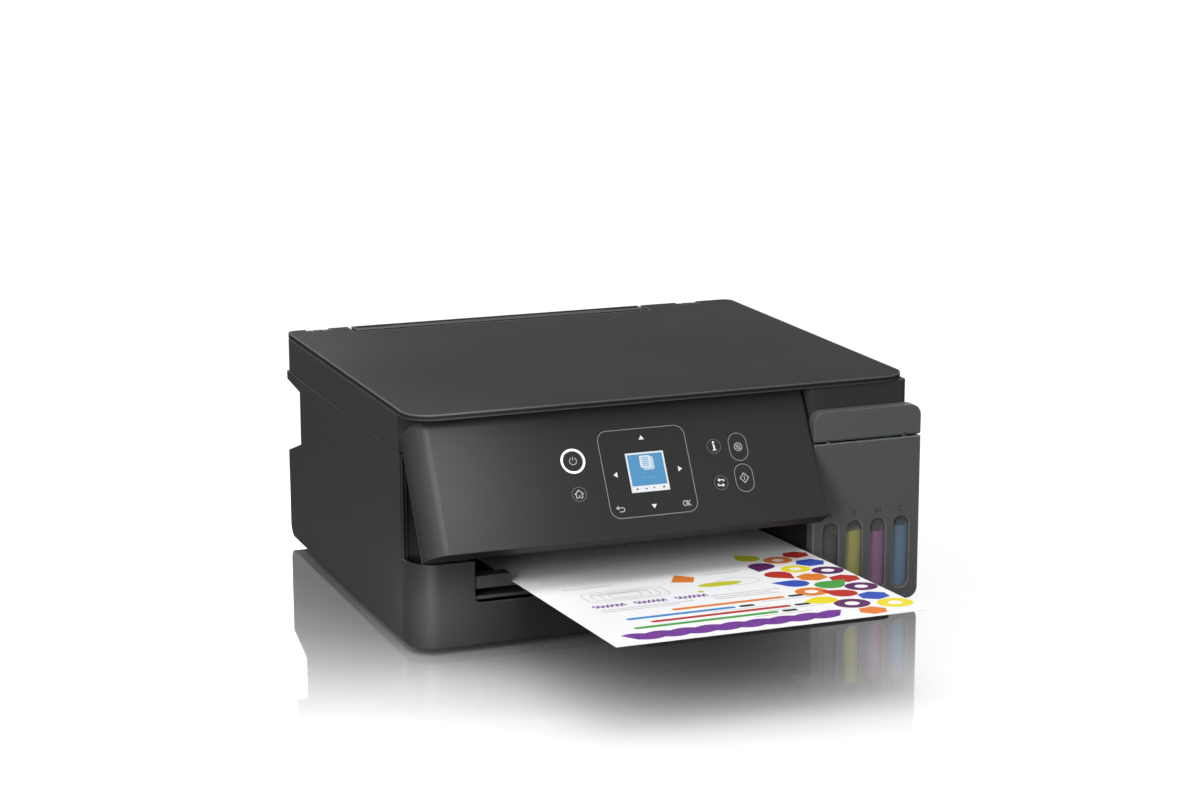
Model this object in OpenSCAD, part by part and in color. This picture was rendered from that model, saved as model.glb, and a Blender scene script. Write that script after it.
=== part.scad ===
// Inkjet printer with a flat scanner, a tilting control panel and a front ink tank unit.
// Units are millimetres, +Z is up and the front faces -Y. The origin lies on the floor, midway
// across the whole width and midway between the front cover and the back.

/* [Case] */
// Width of the case and of the lid
case_w = 370; // [360:1:390]
// Depth of the case from its front cover to its back
case_d = 320; // [314:1:330]
// Height of the base, from its underside to the scanner unit
base_h = 130; // [128:1:140]
// Height of the rubber feet below the case
foot_h = 5; // [4:0.5:8]
// Radius of the rubber feet
foot_r = 8; // [6:0.5:10]
// Wall of the moulded covers
wall = 2.4; // [2:0.1:3]
// Depth of the side covers' turned-in rims
rim_d = 12; // [8:1:16]
// Radius of the base's front left corner
corner_r = 20; // [14:1:25]
// How far the seam of the side cover lies behind the front cover's face
seam_back = 27.5; // [26:0.5:32]
// Height of the front cover above its lower edge
front_h = 58.2; // [54:0.2:58.2]
// Depth of the recess across the back
recess_d = 36; // [24:1:38]
// Height of the block below the recess in the back
shelf_h = 67.4; // [64:0.2:72]
// Rise of the sloped top of that block
shelf_rise = 12; // [6:1:16]
// Height of the overhang above the recess, measured down from the scanner unit
overhang_h = 6.5; // [5:0.5:8]
// Rise of the underside of that overhang from its inner to its outer edge
overhang_rise = 3.5; // [1:0.5:4]
// Radius of the base's lower back edge
heel_r = 10; // [4:1:14]

/* [Output slot] */
// Distance from the case's left side to the slot
slot_left = 43; // [30:1:60]
// Height of the slot's lower edge above the case's underside
slot_sill = 29; // [26:1:30]
// Thickness of the deck under the printed sheet
deck_t = 2; // [1.6:0.1:2.2]
// Slope of the deck, rising towards the front
deck_tilt = 3; // [2:0.5:3.5]
// Height of the deck's front edge above the slot's lower edge
deck_rise = 11.4; // [11:0.2:13]
// Slope of the output tray, rising towards the front
tray_tilt = 4; // [3.6:0.2:4.4]
// Width of the tray extension
tray_w = 176; // [160:1:190]
// Length of the output tray
tray_len = 135; // [120:1:140]
// Length of the tray extension
ext_len = 107.5; // [95:0.5:112]
// How far the output tray is pulled out past the front cover
tray_out = 95; // [80:1:100]
// How far the extension is pulled out past the output tray
ext_out = 87.5; // [60:0.5:90]
// Thickness of the output tray
tray_t = 4; // [3.6:0.1:4.4]
// Thickness of the tray extension
ext_t = 2.2; // [1.8:0.1:2.4]
// Width of the printed sheet
sheet_w = 216; // [210:1:216]
// Length of the printed sheet
sheet_l = 279.4; // [270:0.1:297]
// Thickness of the printed sheet
sheet_t = 0.25; // [0.2:0.05:0.4]
// How far the printed sheet reaches past the front cover
sheet_out = 188.5; // [160:0.5:200]

/* [Scanner unit and lid] */
// Height of the scanner unit
scanner_h = 26; // [25:0.5:30]
// Seam between the base and the scanner unit
part_gap = 0.6; // [0.5:0.1:0.9]
// Thickness of the document lid
lid_t = 4; // [3.6:0.2:5]
// Seam between the lid and the scanner unit
lid_gap = 0.4; // [0.3:0.1:0.6]
// How far the lid's front edge lies behind the front cover's face
lid_back = 4; // [2:0.5:6]
// Radius of the lid's front corners
lid_r = 20; // [10:1:24]
// Radius of the lid's rear corners
lid_rear_r = 8; // [4:1:20]
// Length of the scanner glass, across the case
glass_l = 302; // [298:1:306]
// Width of the scanner glass, front to back
glass_w = 221; // [218:1:224]
// Thickness of the scanner glass
glass_t = 2; // [1.8:0.1:2.4]
// Thickness of the white mat under the lid
mat_t = 1.4; // [1:0.1:1.6]
// Radius of the rod that the scan bar runs on
rod_r = 3; // [2.5:0.1:3.5]
// Width of the scan bar
bar_w = 20; // [16:1:26]
// Travel of the scan bar
bar_travel = 262; // [250:1:266]

/* [Control panel] */
// Tilt of the panel's face from upright
panel_tilt = 30; // [28:0.5:31]
// How far the face's lower edge stands out past the front cover
panel_out = 32.2; // [31:0.2:34]
// Height of the face's lower edge above the case's underside
panel_h = 73.9; // [73.8:0.1:74.5]
// Length of the panel's face from its lower to its upper edge
panel_len = 92.5; // [91.5:0.1:93]
// Depth of the panel's shell
panel_d = 17; // [16.5:0.1:17.2]
// Wall of the panel's shell
panel_wall = 2.2; // [1.8:0.1:2.6]
// Radius of the panel's rounded left end
panel_end_r = 15; // [8:0.5:15]
// Chamfer of the panel's right end
panel_chamfer = 2; // [1:0.2:3]
// Size of the display window
window_w = 64.4; // [60:0.2:70]
// Height of the display window
window_h = 62.5; // [58:0.5:66]
// Size of the lit display
display_w = 27.9; // [24:0.1:32]
// Radius of the outside of the lit ring round the power key
ring_r = 8.7; // [7.5:0.1:10]
// Width of that ring
ring_w = 1.4; // [1:0.1:2]
// Radius of the small round keys
key_r = 5.4; // [4.5:0.1:6]
// Width of the stop and start keys
pill_w = 14.2; // [12:0.2:15]
// Height of the stop and start keys
pill_h = 20.8; // [18:0.2:21]
// Gap round each key
key_gap = 0.35; // [0.3:0.05:0.5]
// Travel of the keys
key_travel = 0.6; // [0.4:0.1:0.8]
// Radius of the panel's hinge pins
hinge_pin_r = 1.6; // [1.4:0.1:1.8]

/* [Ink tank unit] */
// Width of the tank unit
tank_w = 83.2; // [80:0.2:84]
// How far the tank unit stands out past the case's right side
tank_side = 5; // [2:0.5:8]
// How far the tank unit stands out past the front cover
tank_proud = 4.5; // [4:0.5:8]
// Depth of the tank unit
tank_d = 124; // [110:1:128]
// Height of the tank unit's lower edge above the floor
tank_foot = 3.5; // [3:0.5:5]
// Height of the seam between the tank's front cover and the flap, above the tank's lower edge
tank_h = 119; // [116:0.5:121]
// Height of the flap
flap_h = 23; // [18:0.5:24]
// Radius of the unit's corners as seen from the front
tank_r = 8; // [4:0.5:10]
// Width of each window
win_w = 12.4; // [10:0.2:13.4]
// Height of each window
win_h = 53; // [40:1:60]
// Height of the windows' lower ends above the tank's lower edge
win_base = 8.6; // [6:0.2:14]
// Distance between the windows' middles
win_pitch = 18.5; // [17.5:0.1:19]
// Height of the bench that the fill necks stand on, above the tank's lower edge
bench_h = 105; // [100:0.5:106]
// Radius of the fill caps
cap_r = 5.5; // [5:0.1:6]

/* [Rear feed] */
// Width of the rear feed unit, as wide as the lid's notch less its clearance
feeder_w = 238; // [232:1:240]
// Distance from the case's left side to the rear feed unit
feeder_left = 51.5; // [49:0.5:54]
// Depth of the rear feed unit at the top
feeder_d = 18.5; // [18:0.5:20]
// Clearance in front of and beside the rear feed unit, for the scanner unit to swing
notch_gap = 2.8; // [2.6:0.1:3.2]
// Lean of the paper chute from upright
chute_lean = 10; // [8:0.5:11]
// Length of the paper support
support_len = 74; // [60:1:80]
// Travel of the paper support
support_travel = 60; // [40:1:60]
// Width of the guard flap, front to back
guard_d = 11; // [10:0.2:11.4]

/* [Print mechanism] */
// Radius of the feed roller's shaft
shaft_r = 3; // [2.5:0.1:3.5]
// Radius of the feed roller's coated body
feed_r = 6.5; // [5:0.1:7]
// Radius of the pick-up roller
pickup_r = 13; // [11:0.5:14]
// Width of the carriage
carriage_w = 70; // [60:1:76]
// Travel of the carriage
carriage_travel = 262; // [240:1:264]
// Running clearance of shafts and pins in their bores
run_gap = 0.05; // [0.03:0.01:0.08]

/* [Hidden] */

$fn = 48;
gap = 0.3;
eps = 0.01;

// Planes of the case
x_l = -(case_w + tank_side) / 2;
x_r = x_l + case_w;
x_li = x_l + wall;
x_ri = x_r - wall;
y_f = -case_d / 2;
y_b = case_d / 2;
z_0 = foot_h;
z_s = z_0 + base_h;
z_g = z_s + scanner_h;
z_l = z_g + lid_gap;
z_top = z_l + lid_t;
y_seam = y_f + seam_back;
y_rec = y_b - recess_d;
z_shelf = z_0 + shelf_h;
z_over = z_s - overhang_h;
z_rim = z_0 + front_h;

// Tank unit planes
x_tr = x_r + tank_side;
x_t = x_tr - tank_w;
y_tf = y_f - tank_proud;
y_tb = y_tf + tank_d;
z_t = tank_foot;
z_seam = z_t + tank_h;
z_flap = z_seam + flap_h;
tank_seam_gap = 1;

// Slot, deck, tray and sheet
x_slot = x_l + slot_left;
z_sill = z_0 + slot_sill;
z_sheet = z_sill + deck_rise + 0.4;
z_tray = z_sill + deck_rise - deck_t - 1.2;
x_path = x_l + feeder_left + feeder_w / 2;
x_sheet = x_path + 8.25;

module box(a, b) {
    translate(a) cube(b - a);
}
module rrect(a, b, r) {
    translate([a[0] + r, a[1]]) square([b[0] - a[0] - 2 * r, b[1] - a[1]]);
    translate([a[0], a[1] + r]) square([b[0] - a[0], b[1] - a[1] - 2 * r]);
    for (x = [a[0] + r, b[0] - r], y = [a[1] + r, b[1] - r])
        translate([x, y]) circle(r);
}
// A shape drawn in Y and Z, carried along X
module along_x(x0, x1) {
    translate([x0, 0, 0]) rotate([90, 0, 90]) linear_extrude(x1 - x0) children();
}
// A shape drawn in X and Z, carried along Y
module along_y(y0, y1) {
    translate([0, y1, 0]) rotate([90, 0, 0]) linear_extrude(y1 - y0) children();
}
module cyl_x(x0, x1, y, z, r) {
    along_x(x0, x1) translate([y, z]) circle(r);
}
module cyl_y(y0, y1, x, z, r) {
    along_y(y0, y1) translate([x, z]) circle(r);
}
module cyl_z(z0, z1, x, y, r) {
    translate([x, y, z0]) cylinder(h = z1 - z0, r = r);
}

// Colours
black = [0.09, 0.09, 0.095];
panel_grey = [0.13, 0.13, 0.135];
tank_grey = [0.19, 0.19, 0.2];
inner_black = [0.05, 0.05, 0.055];
steel = [0.7, 0.71, 0.72];
rubber = [0.08, 0.08, 0.08];
white = [0.93, 0.93, 0.92];

// ---- Case ----

// Outline of the side covers seen from the side, drawn in by an inset
module side_outline(i) {
    y_front = i > 0 ? y_seam - 1 : y_seam;
    difference() {
        polygon([[y_front, z_0 + i], [y_b - i, z_0 + i], [y_b - i, z_shelf - i],
            [y_rec - i, z_shelf + shelf_rise - i], [y_rec - i, z_over - overhang_rise + i],
            [y_b - i, z_over + i], [y_b - i, z_s - i], [y_front, z_s - i]]);
        heel_cut(i);
    }
}
module heel_cut(i) {
    difference() {
        translate([y_b - heel_r, z_0 - 1]) square(heel_r + 1);
        translate([y_b - heel_r, z_0 + heel_r]) circle(heel_r - i);
    }
}
// Outline of the back between the side covers, where the chute fills most of the recess
module mid_outline(i) {
    difference() {
        polygon([[y_rec - 10, z_0 + i], [y_b - i, z_0 + i], [y_b - i, z_shelf - i],
            [y_b - chute_step - i, z_shelf + 6 - i], [y_b - chute_step / 2 - i, z_over + i],
            [y_b - i, z_over + i], [y_b - i, z_s - i], [y_rec - 10, z_s - i]]);
        heel_cut(i);
    }
}
chute_step = 8;

module left_cover() {
    color(black) {
        along_x(x_l, x_li) side_outline(0);
        along_x(x_li - eps, x_l + rim_d) difference() {
            side_outline(0);
            side_outline(wall);
        }
    }
}

module right_cover() {
    color(black) intersection() {
        union() {
            along_x(x_ri, x_r) side_outline(0);
            along_x(x_r - rim_d, x_ri + eps) difference() {
                side_outline(0);
                side_outline(wall);
            }
        }
        box([x_r - rim_d - 1, y_tb + gap, 0], [x_r + 1, y_b + 1, z_s + 1]);
    }
}

x_back0 = x_l + rim_d + gap;
x_back1 = x_r - rim_d - gap;
x_feed0 = x_l + feeder_left;
x_feed1 = x_feed0 + feeder_w;
y_strip = y_b - feeder_d;
inlet_x = x_r - 88;
inlet_z = z_0 + 21;
inlet_w = 28;
inlet_h = 22;
usb_x = x_l + 120;
usb_z = z_0 + 17;
usb_w = 15;
screw_xs = [x_l + 30, x_l + 90, x_r - 130, x_r - 30];

module rear_cover() {
    color(black) difference() {
        union() {
            for (span = [[x_back0, x_feed0 - wall], [x_feed1 + wall, x_back1]])
                along_x(span[0], span[1]) intersection() {
                    difference() {
                        side_outline(0);
                        side_outline(wall);
                    }
                    translate([y_rec - wall, z_0]) square([recess_d + wall + 1, base_h]);
                }
            along_x(x_feed0 - wall, x_feed1 + wall) intersection() {
                difference() {
                    mid_outline(0);
                    mid_outline(wall);
                }
                translate([y_rec - wall, z_0]) square([recess_d + wall + 1, base_h]);
            }
            // Ends of the chute's bulge
            for (x = [x_feed0 - wall, x_feed1])
                along_x(x, x + wall) intersection() {
                    mid_outline(0);
                    translate([y_rec - wall, z_shelf]) square([recess_d + wall, z_over - z_shelf + wall]);
                }
        }
        // Mouth of the chute
        box([x_feed0, y_strip, z_s - wall - 1], [x_feed1, y_b - wall, z_s + 1]);
        // Cut-outs for the mains inlet and the data port
        box([inlet_x - inlet_w / 2, y_b - wall - 1, inlet_z - inlet_h / 2],
            [inlet_x + inlet_w / 2, y_b + 1, inlet_z + inlet_h / 2]);
        box([usb_x - usb_w / 2, y_b - wall - 1, usb_z - usb_w / 2],
            [usb_x + usb_w / 2, y_b + 1, usb_z + usb_w / 2]);
        for (x = screw_xs) {
            cyl_y(y_b - wall - 1, y_b + 1, x, z_shelf - 10, screw_r + gap);
            cyl_y(y_b - screw_head_t - gap, y_b + 1, x, z_shelf - 10, screw_head_r + gap);
        }
        // Vent slots
        for (k = [0:7])
            box([x_l + 60 + 8 * k, y_b - wall - 1, z_0 + 28], [x_l + 63 + 8 * k, y_b + 1, z_0 + 50]);
    }
}

screw_r = 1.5;
screw_head_r = 3.2;
screw_head_t = 1.2;
screw_l = 9;
module case_screws() {
    color(steel) for (x = screw_xs) difference() {
        union() {
            cyl_y(y_b - screw_head_t, y_b, x, z_shelf - 10, screw_head_r);
            cyl_y(y_b - screw_l, y_b - screw_head_t + eps, x, z_shelf - 10, screw_r);
        }
        for (a = [0, 90])
            translate([x, y_b, z_shelf - 10]) rotate([0, a, 0])
                box([-1.8, -0.7, -0.35], [1.8, 1, 0.35]);
    }
}

// Plan of the front cover's outside, drawn in by an inset
module front_plan(i, far) {
    intersection() {
        rrect([x_l + i, y_f + i], [x_t + 60, y_f + 90], corner_r - i);
        translate([x_l, y_f]) square([x_t - gap + far - x_l, seam_back + far]);
    }
}

slot_r = 4;
module front_cover() {
    color(black) difference() {
        translate([0, 0, z_0]) linear_extrude(front_h) difference() {
            front_plan(0, 0);
            front_plan(wall, 1);
        }
        along_y(y_f - 1, y_seam + 1) rrect([x_slot, z_sill], [x_tr, z_rim + 20], slot_r);
    }
}

module base_pan() {
    color(inner_black) {
        difference() {
            translate([0, 0, z_0]) linear_extrude(wall) union() {
                intersection() {
                    front_plan(wall + gap, 0);
                    translate([x_l, y_f]) square([case_w, seam_back]);
                }
                translate([x_l + rim_d + gap, y_seam - 1])
                    square([x_t - gap - x_l - rim_d - gap, y_rec - wall - gap - y_seam + 1]);
                translate([x_t - 10, y_tb + gap])
                    square([x_r - rim_d - gap - x_t + 10, y_rec - wall - gap - y_tb - gap]);
            }
            // Lightening slots between the ribs
            for (k = [0:4])
                box([x_l + 60 + 36 * k, y_f + 60, z_0 - 1], [x_l + 66 + 36 * k, y_f + 120, z_0 + wall + 1]);
        }
        // Stiffening ribs
        for (x = [x_l + 30, x_path, x_t - 20])
            box([x, y_f + 40, z_0 + wall - eps], [x + wall, y_f + 130, z_0 + wall + 8]);
        for (y = [y_rec - 60, y_rec - 12])
            box([x_l + 24, y, z_0 + wall - eps], [x_r - 24, y + wall, z_0 + wall + 3]);
    }
}

// Places of the feet: one in the middle, and the front right one under the tank unit
foot_places = [[0, 0, z_0], [x_l + 32, y_f + 34, z_0], [x_l + 32, y_rec - 22, z_0],
    [x_r - 34, y_rec - 22, z_0], [x_tr - 28, y_tf + 26, z_t]];
module rubber_feet() {
    color(rubber) for (p = foot_places)
        cyl_z(0, p[2], p[0], p[1], foot_r);
}

y_bulk = y_seam + 2;
module top_deck() {
    color(inner_black) translate([0, 0, z_s - wall]) linear_extrude(wall) difference() {
        translate([x_l + rim_d + gap, y_bulk + 0.5])
            square([case_w - 2 * (rim_d + gap), y_rec - wall - gap - y_bulk - 0.5]);
        rrect([x_l + 28, y_bulk + 12], [x_r - 26, y_rec - 46], 6);
        translate([x_t - gap, y_f]) square([tank_w, y_tb + gap - y_f]);
        // Opening over the chute
        translate([x_feed0 + wall, y_rec - 18]) square([feeder_w - 2 * wall, 30]);
    }
}

// ---- Control panel, placed by its face: X, then up the slope, then out of the face ----

y_face = y_f - panel_out;
z_face = z_0 + panel_h;
x_p0 = x_l + 0.2;
x_p1 = x_t - 1;
eye_r = hinge_pin_r + 1.5;
hinge_s = panel_len - 6.2;
hinge_n = -6;
y_piv = y_face + hinge_s * sin(panel_tilt) - hinge_n * cos(panel_tilt);
z_piv = z_face + hinge_s * cos(panel_tilt) + hinge_n * sin(panel_tilt);
arm_xs = [x_p0 + 40, x_p1 - 40];
arm_w = 6;
module on_panel() {
    translate([0, y_face, z_face]) rotate([90 - panel_tilt, 0, 0]) children();
}

module bulkhead() {
    color(inner_black) {
        box([x_l + 3.4, y_bulk, z_rim + 2], [x_t - 1, y_bulk + wall, z_s - wall]);
        box([x_l + 3.4, y_bulk, z_0 + wall], [x_slot - wall - gap, y_bulk + wall, z_rim + 2 + eps]);
        box([x_l + 3.4, y_seam, z_0 + wall], [x_l + 4.6, y_bulk + eps, z_s - wall]);
        // Arms that carry the control panel
        for (x = arm_xs) difference() {
            along_x(x - arm_w / 2, x + arm_w / 2) {
                polygon([[y_bulk + eps, z_s - 24], [y_bulk + eps, z_s - wall - 1], [y_bulk - 2, z_s - 1],
                    [y_piv + eye_r, z_piv], [y_piv - eye_r, z_piv - 1], [y_piv - 0.5, z_piv - 14]]);
                translate([y_piv, z_piv]) circle(eye_r);
            }
            cyl_x(x - arm_w, x + arm_w, y_piv, z_piv, hinge_pin_r + run_gap);
        }
    }
}

// Cross-section of the panel's shell, X across and depth behind the face up, drawn in by an inset
module panel_section(i) {
    r = panel_end_r - i;
    x_f = x_p1 - panel_chamfer - i * 0.4;
    translate([x_p0 + panel_end_r, i]) square([x_f - x_p0 - panel_end_r, panel_d + 1]);
    translate([x_p0 + i, panel_end_r]) square([panel_end_r, panel_d + 1 - panel_end_r]);
    translate([x_p0 + panel_end_r, panel_end_r]) circle(r);
    polygon([[x_p1 - panel_chamfer - i * 0.4 - eps, i], [x_p1 - i, panel_chamfer + i * 0.4],
        [x_p1 - i, panel_d + 1], [x_p1 - panel_chamfer - i * 0.4 - eps, panel_d + 1]]);
}
panel_corner = 8;
panel_back_chamfer = 4;
module panel_solid(i) {
    intersection() {
        translate([0, i, 0]) rotate([-90, 0, 0]) linear_extrude(panel_len - 2 * i) panel_section(i);
        union() {
            translate([0, 0, -panel_d - (i > 0 ? 1 : 0)]) linear_extrude(panel_d + 2) {
                rrect([x_p0 + i, i], [x_p0 + 60, panel_len - i], panel_corner - i);
                translate([x_p0 + i, i]) square([40, 30]);
                translate([x_p0 + 40, i]) square([x_p1 - i - x_p0 - 40, panel_len - 2 * i]);
            }
        }
    }
}
// Places of the keys: X from the panel's left end, then up the slope
// Distances from the panel's left end and from its lower edge, along its face
left_keys = 111.9;
middle_keys = 215.6;
right_keys = 233.4;
window_from_left = 163.8;
window_up = 43.8;
power_at = [x_p0 + left_keys, 56];
home_at = [x_p0 + left_keys, 32.6];
info_at = [x_p0 + middle_keys, 57.2];
copy_at = [x_p0 + middle_keys, 31];
stop_at = [x_p0 + right_keys, 55.2];
start_at = [x_p0 + right_keys, 32.8];
window_at = [x_p0 + window_from_left, window_up];
module pill(w, h) {
    for (s = [-1, 1]) translate([0, s * (h - w) / 2]) circle(w / 2);
    square([w, h - w], center = true);
}
window_t = 1;
window_r = 5;
module panel_shell() {
    color(panel_grey) on_panel() difference() {
        panel_solid(0);
        panel_solid(panel_wall);
        // Chamfer along the upper back edge
        translate([0, panel_len, -panel_d]) rotate([45, 0, 0])
            translate([x_p0 - 1, -5, -panel_back_chamfer * sqrt(0.5)])
                cube([case_w, 20, 2 * panel_back_chamfer * sqrt(0.5)]);
        translate([0, 0, -panel_d / 2]) linear_extrude(panel_d) {
            translate(power_at) circle(ring_r + gap / 2);
            for (p = [home_at, info_at, copy_at]) translate(p) circle(key_r + key_gap);
            for (p = [stop_at, start_at]) translate(p) pill(pill_w + 2 * key_gap, pill_h + 2 * key_gap);
            translate(window_at) square(display_w + 2 * gap, center = true);
        }
        translate([0, 0, -window_t - gap / 2]) linear_extrude(5)
            translate(window_at) translate([-window_w / 2 - gap / 2, -window_h / 2 - gap / 2])
                rrect([0, 0], [window_w + gap, window_h + gap], window_r);
    }
}

module panel_back() {
    color(inner_black) on_panel() {
        difference() {
            translate([0, 0, -panel_d + 0.2]) linear_extrude(1.8)
                translate([x_p0 + panel_wall + gap, panel_wall + gap])
                    square([x_p1 - x_p0 - 2 * (panel_wall + gap), panel_len - 12 - panel_wall]);
            // Slots for the arms
            for (x = arm_xs)
                box([x - arm_w / 2 - 1, 50, -panel_d - 1], [x + arm_w / 2 + 1, panel_len, -panel_d + 3]);
        }
        // Cheeks and pins
        for (x = arm_xs) {
            for (s = [-1, 1])
                translate([x + s * (arm_w / 2 + 0.5) + (s > 0 ? 0 : -2), hinge_s - 9, -panel_d + 1.5])
                    cube([2, 11.5, panel_d - 5]);
            translate([x - arm_w / 2 - 1, hinge_s, hinge_n]) rotate([0, 90, 0])
                cylinder(h = arm_w + 2, r = hinge_pin_r);
        }
    }
}

module panel_window() {
    color([0.07, 0.07, 0.075]) on_panel() translate([0, 0, -window_t]) linear_extrude(window_t)
        translate(window_at) difference() {
            translate([-window_w / 2, -window_h / 2]) rrect([0, 0], [window_w, window_h], window_r);
            square(display_w + gap, center = true);
        }
}
module display() {
    color([0.2, 0.5, 0.85]) on_panel() translate([window_at[0], window_at[1], -7]) {
        translate([-display_w / 2, -display_w / 2, 0]) cube([display_w, display_w, 6.8]);
        translate([-display_w / 2 - 2, -display_w / 2 - 2, 0]) cube([display_w + 4, display_w + 4, 3.6]);
        // Feet that stand on the panel's back
        for (x = [-10, 10])
            translate([x - 2, -10, -panel_d + 9]) cube([4, 20, panel_d - 9 + eps]);
    }
}
module power_ring() {
    color(white) on_panel() translate([power_at[0], power_at[1], -panel_wall]) linear_extrude(panel_wall)
        difference() {
            circle(ring_r);
            circle(ring_r - ring_w);
        }
}
key_t = 2.6;
flange_t = 0.9;
stem_r = 2;
// A key: its cap, the flange that keeps it in and its stem, about its middle
module key(w, h) {
    translate([0, 0, -key_t]) linear_extrude(key_t) pill(w, h);
    translate([0, 0, -panel_wall - gap - flange_t]) linear_extrude(flange_t) pill(w + 1.6, h + 1.6);
    translate([0, 0, -panel_d + 3.4]) cylinder(h = panel_d - 3.4 - key_t + eps, r = stem_r);
}
module round_key(at, r) {
    color(panel_grey) on_panel() translate([at[0], at[1], 0]) {
        translate([0, 0, -key_t]) cylinder(h = key_t, r = r);
        translate([0, 0, -panel_wall - gap - flange_t]) cylinder(h = flange_t, r = r + 0.8);
        translate([0, 0, -panel_d + 3.4]) cylinder(h = panel_d - 3.4 - key_t + eps, r = stem_r);
    }
}
module pill_key(at) {
    color(panel_grey) on_panel() translate([at[0], at[1], 0]) key(pill_w, pill_h);
}
module power_key() {
    round_key(power_at, ring_r - ring_w - gap);
}
module home_key() {
    round_key(home_at, key_r);
}
module info_key() {
    round_key(info_at, key_r);
}
module copy_key() {
    round_key(copy_at, key_r);
}
module stop_key() {
    pill_key(stop_at);
}
module start_key() {
    pill_key(start_at);
}

// ---- Output slot, tray and sheet ----

// Frames with Y along the slope and Z out of the surface, from the front cover's face
module on_deck() {
    translate([0, y_f, z_sheet]) rotate([-deck_tilt, 0, 0]) children();
}
module on_tray() {
    translate([0, y_f, z_tray]) rotate([-tray_tilt, 0, 0]) children();
}
deck_len = 95;
deck_step = 16.5;
tray_side = 6;
tray_mid = x_sheet - 2;
x_ext0 = tray_mid - tray_w / 2;
x_ext1 = tray_mid + tray_w / 2;
// Ledge that guides the sheet's left edge out of the slot
ledge_h = 6;
ledge_side = 1;
module output_deck() {
    color(panel_grey) {
        on_deck() difference() {
            box([x_slot - eps, wall + gap, -0.4 - deck_t], [x_t - gap, deck_len, -0.4]);
            box([x_slot - 1, deck_step, -5], [x_slot + 10.6, deck_len + 1, 5]);
        }
        on_deck()
            box([x_slot - eps, wall + gap, -0.4 - deck_t],
                [x_sheet - sheet_w / 2 - ledge_side, deck_step, ledge_h]);
        // Walls beside the slot, standing on the base pan
        box([x_slot - wall, y_f + wall + gap, z_0 + wall], [x_slot, y_f + deck_len + 45, z_rim - 3]);
        box([x_t - gap - wall, y_f + wall + gap, z_0 + wall], [x_t - gap, y_f + deck_len + 45, z_sheet - 6]);
        // Runners under the tray's edges
        on_tray() {
            box([x_slot - eps, wall + 1, -tray_t - 2.3], [x_ext0 - tray_side + 4, 140, -tray_t - gap]);
            box([x_ext1 + tray_side - 4, wall + 1, -tray_t - 2.3], [x_t - gap - eps, 140, -tray_t - gap]);
        }
    }
}
module output_tray() {
    color(panel_grey) on_tray() difference() {
        box([x_ext0 - tray_side, -tray_out, -tray_t], [x_ext1 + tray_side, tray_len - tray_out, 0]);
        box([x_ext0 - gap, -tray_out - 1, -ext_t - 2 * gap], [x_ext1 + gap, tray_len - tray_out - 4, 1]);
    }
}
ext_corner = 10;
ext_lip = 4;
module tray_extension() {
    y0 = -tray_out - ext_out;
    color(panel_grey) on_tray() {
        translate([0, 0, -ext_t - gap]) linear_extrude(ext_t) union() {
            rrect([x_ext0, y0], [x_ext1, y0 + 40], ext_corner);
            translate([x_ext0, y0 + 25]) square([tray_w, ext_len - 25]);
        }
        // Lip along the front edge
        translate([0, 0, -tray_t]) linear_extrude(tray_t - gap) intersection() {
            rrect([x_ext0, y0], [x_ext1, y0 + 40], ext_corner);
            translate([x_ext0, y0]) square([tray_w, ext_lip]);
        }
    }
}
module printed_sheet() {
    color(white) on_deck()
        box([x_sheet - sheet_w / 2, -sheet_out, 0], [x_sheet + sheet_w / 2, sheet_l - sheet_out, sheet_t]);
}

// ---- Scanner unit and lid ----

z_sc = z_s + part_gap;
y_sf = y_seam + 1.5;
y_rf = y_f + 6.5;
x_cut0 = x_feed0 - notch_gap;
x_cut1 = x_feed1 + notch_gap;
y_cut = y_strip - notch_gap;
y_hinge = y_b - 4;
z_hinge = z_g - 4.5;
scan_pin_r = 2;
y_lid_hinge = y_b - 3.5;
z_lid_hinge = z_l + lid_t / 2;
lid_sweep_r = 4.4;
lid_pin_r = 1.2;
lid_hinge_xs = [(x_l + x_cut0) / 2, (x_cut1 + x_r) / 2];
scan_corner = 6;
module notch(i) {
    translate([x_cut0 - i, y_cut - i]) square([x_cut1 - x_cut0 + 2 * i, feeder_d + notch_gap + i + 1]);
}
module scan_plan(i) {
    difference() {
        union() {
            translate([x_l + i, y_sf + i]) square([case_w - 2 * i, case_d / 2]);
            rrect([x_l + i, 0], [x_r - i, y_b - i], lid_rear_r - i);
            rrect([x_t + 0.8 + i, y_rf + i], [x_r - i, y_sf + 60], scan_corner - i);
        }
        notch(i);
    }
}
// Space that the lid's rear edge swings through
module lid_sweep() {
    cyl_x(x_l - 1, x_r + 1, y_lid_hinge, z_lid_hinge, lid_sweep_r);
}
frame_t = 2.2;
x_gl0 = x_l + 16;
y_gl0 = y_sf + wall + 6;
glass_lip = 1;
y_rod = y_gl0 + glass_w / 2;
z_rod = z_sc + wall + 5;
module scanner_base() {
    color(black) difference() {
        union() {
            translate([0, 0, z_sc]) linear_extrude(z_g - z_sc) difference() {
                scan_plan(0);
                scan_plan(wall);
            }
            translate([0, 0, z_sc]) linear_extrude(wall) scan_plan(0);
            // Ribs that carry the glass
            for (y = [y_gl0, y_gl0 + glass_w - 1.4])
                box([x_gl0, y, z_sc + wall - eps], [x_gl0 + glass_l, y + 1.4, z_g - frame_t - glass_t]);
            // Bosses round the hinge pins
            cyl_x(x_cut0 - 9, x_cut0 - eps, y_hinge, z_hinge, 3.2);
            cyl_x(x_cut1 + eps, x_cut1 + 9, y_hinge, z_hinge, 3.2);
        }
        cyl_x(x_cut0 - 10, x_cut0 + 1, y_hinge, z_hinge, scan_pin_r + run_gap);
        cyl_x(x_cut1 - 1, x_cut1 + 10, y_hinge, z_hinge, scan_pin_r + run_gap);
        lid_sweep();
    }
}
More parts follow.
